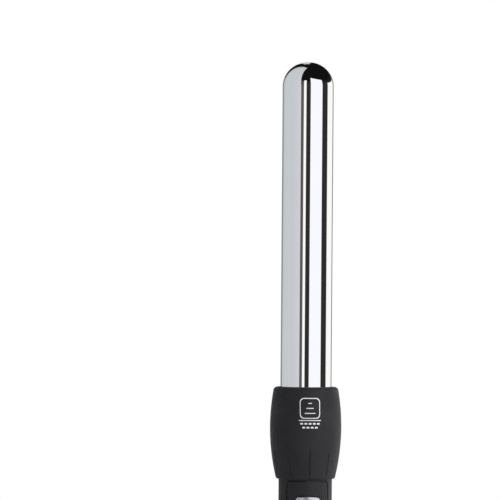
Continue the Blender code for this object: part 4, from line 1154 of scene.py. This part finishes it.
def build_end_cap():
    """End cap with a rounded foot, a fine shadow line at its top and the mouth for the swivel."""
    shoulder = top_of("end_cap") - SPIGOT
    radius = handle_radius(shoulder)
    edge, foot_round = 0.4 * MM, 1.6 * MM
    mouth, bore, ledge = 9.7 * MM, 10.9 * MM, 6.2 * MM
    profile = [(SPIGOT_RADIUS, shoulder + SPIGOT), (SPIGOT_RADIUS, shoulder)]
    profile += arc((radius - edge, shoulder - edge), edge, 90, 0, 6)
    profile += [(radius, z) for z in spaced(shoulder - edge, foot_round, 8)[1:-1]]
    profile += arc((radius - foot_round, foot_round), foot_round, 0, -90, 12)
    profile += arc((mouth + edge, edge), edge, -90, -180, 6)
    profile += [(mouth, ledge), (bore, ledge), (bore, shoulder + SPIGOT)]
    mesh = turned("cap", profile)
    finish_piece("end_cap_shell", mesh, "handle", "handle_plastic", ["end_cap"])


def build_gland():
    """Swivelling cord inlet: a ribbed nose round the blind cord bore."""
    foot, top = foot_of("swivel_gland"), top_of("swivel_gland")
    nose, flange, stem, bore = 9.35 * MM, node_radius("swivel_gland"), 6.0 * MM, 3.8 * MM
    low, high, bore_top = 6.5 * MM, 8.5 * MM, 13.5 * MM
    edge, mouth, groove, slope = 0.9 * MM, 0.8 * MM, 0.35 * MM, 0.2 * MM
    groove_out, groove_in = 7.6 * MM, 5.4 * MM
    profile = [(0.0, top), (stem, top), (stem, high), (flange, high), (flange, low), (nose, low)]
    profile += arc((nose - edge, foot + edge), edge, 0, -90, 8)
    profile += [(groove_out, foot), (groove_out - slope, foot + groove)]
    profile += [(groove_in + slope, foot + groove), (groove_in, foot)]
    profile += arc((bore + mouth, foot + mouth), mouth, -90, -180, 8)
    profile += [(bore, bore_top), (0.0, bore_top)]
    mesh = turned("gland", profile, GLAND_STEPS)
    finish_piece("gland", mesh, "swivel", "component_black", ["swivel_gland"])
    across, along, up, down, lift = 0.8 * MM, 0.25 * MM, 0.3 * MM, 0.15 * MM, 0.2 * MM
    rib = bevelled(box_mesh("rib", (-across, -along, -down), (across, along, up)), 0.1 * MM)
    middle = (groove_out + groove_in) / 2
    mesh = copies_round("gland_ribs", rib, "component_black", 24, middle, foot + lift, 0.0)
    finish_piece("gland_ribs", mesh, "swivel", "component_black")


# ---------------------------------------------------------------- inside

def circle_of(node):
    """Distance and bearing of a node from the wand's axis."""
    low, high = BOXES[node]
    centre = (low + high) / 2
    return math.hypot(centre.x, centre.y), math.atan2(centre.y, centre.x)


def build_contact_pins():
    """Four turned pins with rounded tips and a flange."""
    foot, top, radius = foot_of("contact_pin_1"), top_of("contact_pin_1"), node_radius("contact_pin_1")
    flange, flange_foot, flange_top, slope = radius * 1.2, 150.4 * MM, 153.0 * MM, 0.2 * MM
    tip = [(0.0, foot)]
    for degrees in spaced(0, 90, 7)[1:]:
        turn = math.radians(degrees)
        tip.append((radius * math.sin(turn), foot + radius - radius * math.cos(turn)))
    collar = [(radius, flange_foot), (flange, flange_foot + slope), (flange, flange_top - slope)]
    shank = [(radius, flange_top), (radius, top), (0.0, top)]
    pin = turned("pin", tip + collar + shank, SMALL_STEPS)
    mesh = copies_round("contact_pins", pin, "brass", 4, circle_of("contact_pin_1")[0], 0.0, math.radians(45))
    finish_piece("contact_pins", mesh, "barrel_unit", "brass", [f"contact_pin_{i}" for i in range(1, 5)])


def build_collar_screws():
    """Three screws that hold the barrel's base in the collar's carrier."""
    foot, top = foot_of("collar_screw_1"), top_of("collar_screw_1")
    distance, first = circle_of("collar_screw_1")
    screw = tipped(cross_screw(1.5 * MM, 1.4 * MM, 0.8 * MM, top - foot), 2, (0.0, 0.0, 0.0))
    mesh = copies_round("collar_screws", screw, "steel", 3, distance, foot, first)
    finish_piece("collar_screws", mesh, "barrel_unit", "steel", [f"collar_screw_{i}" for i in range(1, 4)])


def dress_inner_parts():
    """Gives every frame part that still shows the finish of its slot."""
    slots = {part["node"]: part["material_slot"] for part in frame["record"]["subparts"]}
    for name, obj in frame["nodes"].items():
        if not obj.hide_render:
            obj.data.materials.clear()
            obj.data.materials.append(FINISHES[slots[name]])


# ---------------------------------------------------------------- studio

# What the chrome mirrors, by bearing from the camera (right is positive) and by height, both in degrees.
# Each soft box: from, to, upper edge at bearing 0 and its fall for each degree of bearing, then colour.
SOFT_BOXES = (
    (-19.2, -8.0, 27.0, 0.0, (1.04, 1.03, 1.02)),
    (11.5, 67.6, 43.0, 0.26, (1.02, 1.02, 1.07)),
    (99.3, 146.2, 11.5, 0.0, (1.03, 1.02, 1.0)),
)
BLACK_CLOTH = (0.006, 0.006, 0.006)
CLOTH_FROM = 18.0                                       # height above which all is black cloth
DARK_GAP = (0.03, 0.027, 0.024)
BROWN_GAP = (0.13, 0.12, 0.115)                         # left of the first soft box
BROWN_EDGES = (-34.0, -20.3, 25.0)                      # from, to, upper edge
BROWN_FADE = (-31.0, -22.0)                             # it grows stronger between these bearings
BACK_PAPER = (0.3, 0.3, 0.3)
PAPER_FROM, PAPER_TOP = 146.0, 12.0                     # bearing on either side, and upper edge
CARD_TONES = ((0.46, 0.485, 0.5), (0.588, 0.62, 0.636), (0.66, 0.65, 0.685))    # from the back to the front
CARD_FADES = ((-165.0, -115.0), (-75.0, -35.0))         # bearings between which a tone goes over to the next
CARD_RIGHT, CARD_BACK = (1.63, 0.247), (1.35, 0.1)      # slants of the card's edges across and up
SLIT_TONE, SLIT_TOP = (0.6, 0.6, 0.62), 46.0            # pale slit behind the wand
SLIT_LEFT, SLIT_FADE = 0.03, (0.003, 0.008)             # its shift, and the squares of its soft edges
LEFT_ROOM = (0.08, 0.08, 0.08)                          # the light that the dull surfaces get from each side
RIGHT_ROOM = (7.1, 7.0, 7.25)
ROOM_FADES, ROOM_TOP = ((-40.0, 90.0), (178.0, 160.0)), 28.0
BACKDROP = (1.0, 1.0, 1.0)


def build_world():
    """What the chrome mirrors, the side light that dull surfaces get, and the white backdrop."""
    world = bpy.data.worlds.new("studio")
    world.use_nodes = True
    bpy.context.scene.world = world
    nodes = Nodes(world.node_tree)
    way = nodes.add("ShaderNodeTexCoord", output="Generated")
    turn = -bpy.context.scene.wand_studio.azimuth
    facing = nodes.add("ShaderNodeVectorRotate", {"rotation_type": "Z_AXIS"}, {"Vector": way, "Angle": turn})
    x, y, z = (nodes.add("ShaderNodeSeparateXYZ", None, {0: facing}, i) for i in range(3))
    degrees = math.degrees(1)
    bearing = x.math("ARCTAN2", x, -y) * degrees
    height = z.math("ARCSINE", z) * degrees

    def above(value, edge, soft=1.0):
        return nodes.step(value, edge - soft / 2, edge + soft / 2)

    def below(value, edge, soft=1.0):
        return 1 - above(value, edge, soft)

    look = nodes.mix(above(height, CLOTH_FROM, 16.0), DARK_GAP, BLACK_CLOTH)
    behind = above(bearing * bearing, PAPER_FROM**2, 120.0)
    look = nodes.mix(behind * below(height, PAPER_TOP, 3.0), look, BACK_PAPER)

    start, end, upper = BROWN_EDGES
    gap = above(bearing, start) * below(bearing, end) * below(height, upper, 8.0)
    look = nodes.mix(gap * nodes.step(bearing, *BROWN_FADE, 0.35, 1.0), look, BROWN_GAP)

    for start, end, upper, fall, tone in SOFT_BOXES:
        inside = above(bearing, start) * below(bearing, end)
        look = nodes.mix(inside * below(height + bearing * fall, upper, 1.5), look, tone)

    # The grey card on the left fills the wedge between two slanting planes.
    right_side = above(y - x * CARD_RIGHT[0] - z * CARD_RIGHT[1], 0.0, 0.02)
    back_side = below(y + x * CARD_BACK[0] - z * CARD_BACK[1], 0.0, 0.03)
    card = CARD_TONES[0]
    for fade, tone in zip(CARD_FADES, CARD_TONES[1:]):
        card = nodes.mix(nodes.step(bearing, *fade), card, tone)
    look = nodes.mix(right_side * back_side, look, card)

    off = x + SLIT_LEFT
    slit = above(y, 0.0) * below(height, SLIT_TOP, 6.0) * (1 - nodes.step(off * off, *SLIT_FADE))
    look = nodes.mix(slit, look, SLIT_TONE)

    side = below(height, ROOM_TOP, 16.0)
    for fade in ROOM_FADES:
        side = nodes.step(bearing, *fade) * side
    room = nodes.mix(side, LEFT_ROOM, RIGHT_ROOM)
    look = nodes.mix(nodes.add("ShaderNodeLightPath", output="Is Diffuse Ray"), look, room)
    look = nodes.mix(nodes.add("ShaderNodeLightPath", output="Is Camera Ray"), look, BACKDROP)
    nodes.feed(world.node_tree.nodes["Background"].inputs["Color"], look)


def build_ceiling():
    """A large square soft light above the wand, which the chrome doesn't mirror."""
    data = bpy.data.lights.new("ceiling", "AREA")
    data.shape = "SQUARE"
    data.size = 2.4
    data.energy = bpy.context.scene.wand_studio.ceiling_power
    light = bpy.data.objects.new("ceiling", data)
    bpy.context.scene.collection.objects.link(light)
    light.location.z = 2.2
    light.visible_camera = False
    light.visible_glossy = False


def build_floor():
    """Pale round floor just under the wand's foot, which the chrome doesn't mirror."""
    radius, drop = 2.4, 0.2 * MM
    finish = Finish("studio_floor", colours().floor, 0.65)
    finish.shade(finish.noise(0.4, 3.0), 0.985, 1.01)
    finish.set("Roughness", 0.6 + finish.noise(0.02, 3.0) * 0.1)
    work = bmesh.new()
    bmesh.ops.create_circle(work, cap_ends=True, segments=128, radius=radius)
    bmesh.ops.translate(work, vec=(0.0, 0.0, -drop), verts=work.verts)
    floor = worker(mesh_of("floor", work, recalculate=False))
    floor.name = "floor"
    floor.visible_glossy = False
    floor.data.materials.append(finish.material)


def build_camera():
    """Camera level with the upper part of the wand, aimed left of its axis."""
    studio = bpy.context.scene.wand_studio
    back = Vector((math.sin(studio.azimuth), -math.cos(studio.azimuth), 0.0))
    right = Vector((math.cos(studio.azimuth), math.sin(studio.azimuth), 0.0))
    aim = Vector((0.0, 0.0, studio.aim_height)) - right * studio.aim_left
    data = bpy.data.cameras.new("camera")
    data.sensor_width = 36.0
    data.lens = data.sensor_width * studio.distance / studio.field
    data.clip_start, data.clip_end = 0.05, 20.0
    camera = bpy.data.objects.new("camera", data)
    bpy.context.scene.collection.objects.link(camera)
    camera.location = aim + back * studio.distance
    camera.rotation_mode = "QUATERNION"
    roll = Matrix.Rotation(studio.roll, 3, "Z").to_quaternion()
    camera.rotation_quaternion = (-back).to_track_quat("-Z", "Y") @ roll
    bpy.context.scene.camera = camera


def build_stage():
    """Floor, light, mirrored surroundings and camera."""
    build_floor()
    build_world()
    build_ceiling()
    bpy.context.scene.view_settings.view_transform = "Standard"
    build_camera()


# ---------------------------------------------------------------- operators and panel

class WAND_OT_finishes(bpy.types.Operator):
    """Make the finish of every material slot"""

    bl_idname = "wand.finishes"
    bl_label = "Finishes"
    bl_options = {"REGISTER", "UNDO"}

    def execute(self, context):
        FINISHES.update(make_finishes())
        return {"FINISHED"}


class WAND_OT_stage(bpy.types.Operator):
    """Set up the floor, the studio light and the camera"""

    bl_idname = "wand.stage"
    bl_label = "Stage"
    bl_options = {"REGISTER", "UNDO"}

    def execute(self, context):
        build_stage()
        return {"FINISHED"}


class WAND_OT_barrel(bpy.types.Operator):
    """Build the chrome barrel"""

    bl_idname = "wand.barrel"
    bl_label = "Barrel"
    bl_options = {"REGISTER", "UNDO"}

    def execute(self, context):
        build_barrel()
        return {"FINISHED"}


class WAND_OT_collar(bpy.types.Operator):
    """Build the soft collar"""

    bl_idname = "wand.collar"
    bl_label = "Collar"
    bl_options = {"REGISTER", "UNDO"}

    def execute(self, context):
        build_collar()
        return {"FINISHED"}


class WAND_OT_collar_mark(bpy.types.Operator):
    """Build the printed mark on the collar"""

    bl_idname = "wand.collar_mark"
    bl_label = "Collar mark"
    bl_options = {"REGISTER", "UNDO"}

    def execute(self, context):
        build_collar_mark()
        return {"FINISHED"}


class WAND_OT_shells(bpy.types.Operator):
    """Build the two handle shells"""

    bl_idname = "wand.shells"
    bl_label = "Handle shells"
    bl_options = {"REGISTER", "UNDO"}

    def execute(self, context):
        build_front_shell()
        build_rear_shell()
        return {"FINISHED"}


class WAND_OT_screws(bpy.types.Operator):
    """Build the screws of the handle and of the collar"""

    bl_idname = "wand.screws"
    bl_label = "Screws"
    bl_options = {"REGISTER", "UNDO"}

    def execute(self, context):
        build_shell_screws()
        build_collar_screws()
        return {"FINISHED"}


class WAND_OT_panel(bpy.types.Operator):
    """Build the control panel"""

    bl_idname = "wand.panel"
    bl_label = "Control panel"
    bl_options = {"REGISTER", "UNDO"}

    def execute(self, context):
        build_panel()
        return {"FINISHED"}


class WAND_OT_display(bpy.types.Operator):
    """Build the display: frame, lens, film and segments"""

    bl_idname = "wand.display"
    bl_label = "Display"
    bl_options = {"REGISTER", "UNDO"}

    def execute(self, context):
        build_display()
        return {"FINISHED"}


class WAND_OT_keys(bpy.types.Operator):
    """Build the three keys and their signs"""

    bl_idname = "wand.keys"
    bl_label = "Keys"
    bl_options = {"REGISTER", "UNDO"}

    def execute(self, context):
        build_keys()
        return {"FINISHED"}


class WAND_OT_end_cap(bpy.types.Operator):
    """Build the end cap"""

    bl_idname = "wand.end_cap"
    bl_label = "End cap"
    bl_options = {"REGISTER", "UNDO"}

    def execute(self, context):
        build_end_cap()
        return {"FINISHED"}


class WAND_OT_gland(bpy.types.Operator):
    """Build the swivelling gland"""

    bl_idname = "wand.gland"
    bl_label = "Swivel gland"
    bl_options = {"REGISTER", "UNDO"}

    def execute(self, context):
        build_gland()
        return {"FINISHED"}


class WAND_OT_pins(bpy.types.Operator):
    """Build the contact pins"""

    bl_idname = "wand.pins"
    bl_label = "Contact pins"
    bl_options = {"REGISTER", "UNDO"}

    def execute(self, context):
        build_contact_pins()
        return {"FINISHED"}


class WAND_OT_inside(bpy.types.Operator):
    """Finish the parts inside"""

    bl_idname = "wand.inside"
    bl_label = "Inner parts"
    bl_options = {"REGISTER", "UNDO"}

    def execute(self, context):
        dress_inner_parts()
        return {"FINISHED"}


STEPS = (
    WAND_OT_finishes,
    WAND_OT_stage,
    WAND_OT_barrel,
    WAND_OT_collar,
    WAND_OT_collar_mark,
    WAND_OT_shells,
    WAND_OT_screws,
    WAND_OT_panel,
    WAND_OT_display,
    WAND_OT_keys,
    WAND_OT_end_cap,
    WAND_OT_gland,
    WAND_OT_pins,
    WAND_OT_inside,
)


class WAND_PT_sidebar(bpy.types.Panel):
    """Lists the steps in order, with the sizes and colours they use"""

    bl_idname = "WAND_PT_sidebar"
    bl_label = "Curling Wand"
    bl_space_type = "VIEW_3D"
    bl_region_type = "UI"
    bl_category = "Wand"

    def draw(self, context):
        for step in STEPS:
            self.layout.operator(step.bl_idname)
        for group in (context.scene.wand_shape, context.scene.wand_colours, context.scene.wand_studio):
            column = self.layout.column()
            for name in group.__annotations__:
                column.prop(group, name)


GROUPS = {"wand_shape": WandShape, "wand_colours": WandColours, "wand_studio": WandStudio}


def register():
    for cls in (*GROUPS.values(), *STEPS, WAND_PT_sidebar):
        bpy.utils.register_class(cls)
    for name, group in GROUPS.items():
        setattr(bpy.types.Scene, name, PointerProperty(type=group))


def unregister():
    for name in GROUPS:
        delattr(bpy.types.Scene, name)
    for cls in (WAND_PT_sidebar, *reversed(STEPS), *GROUPS.values()):
        bpy.utils.unregister_class(cls)


def main():
    register()
    for step in STEPS:
        getattr(bpy.ops.wand, step.bl_idname.split(".")[1])()


if __name__ == "__main__":
    main()
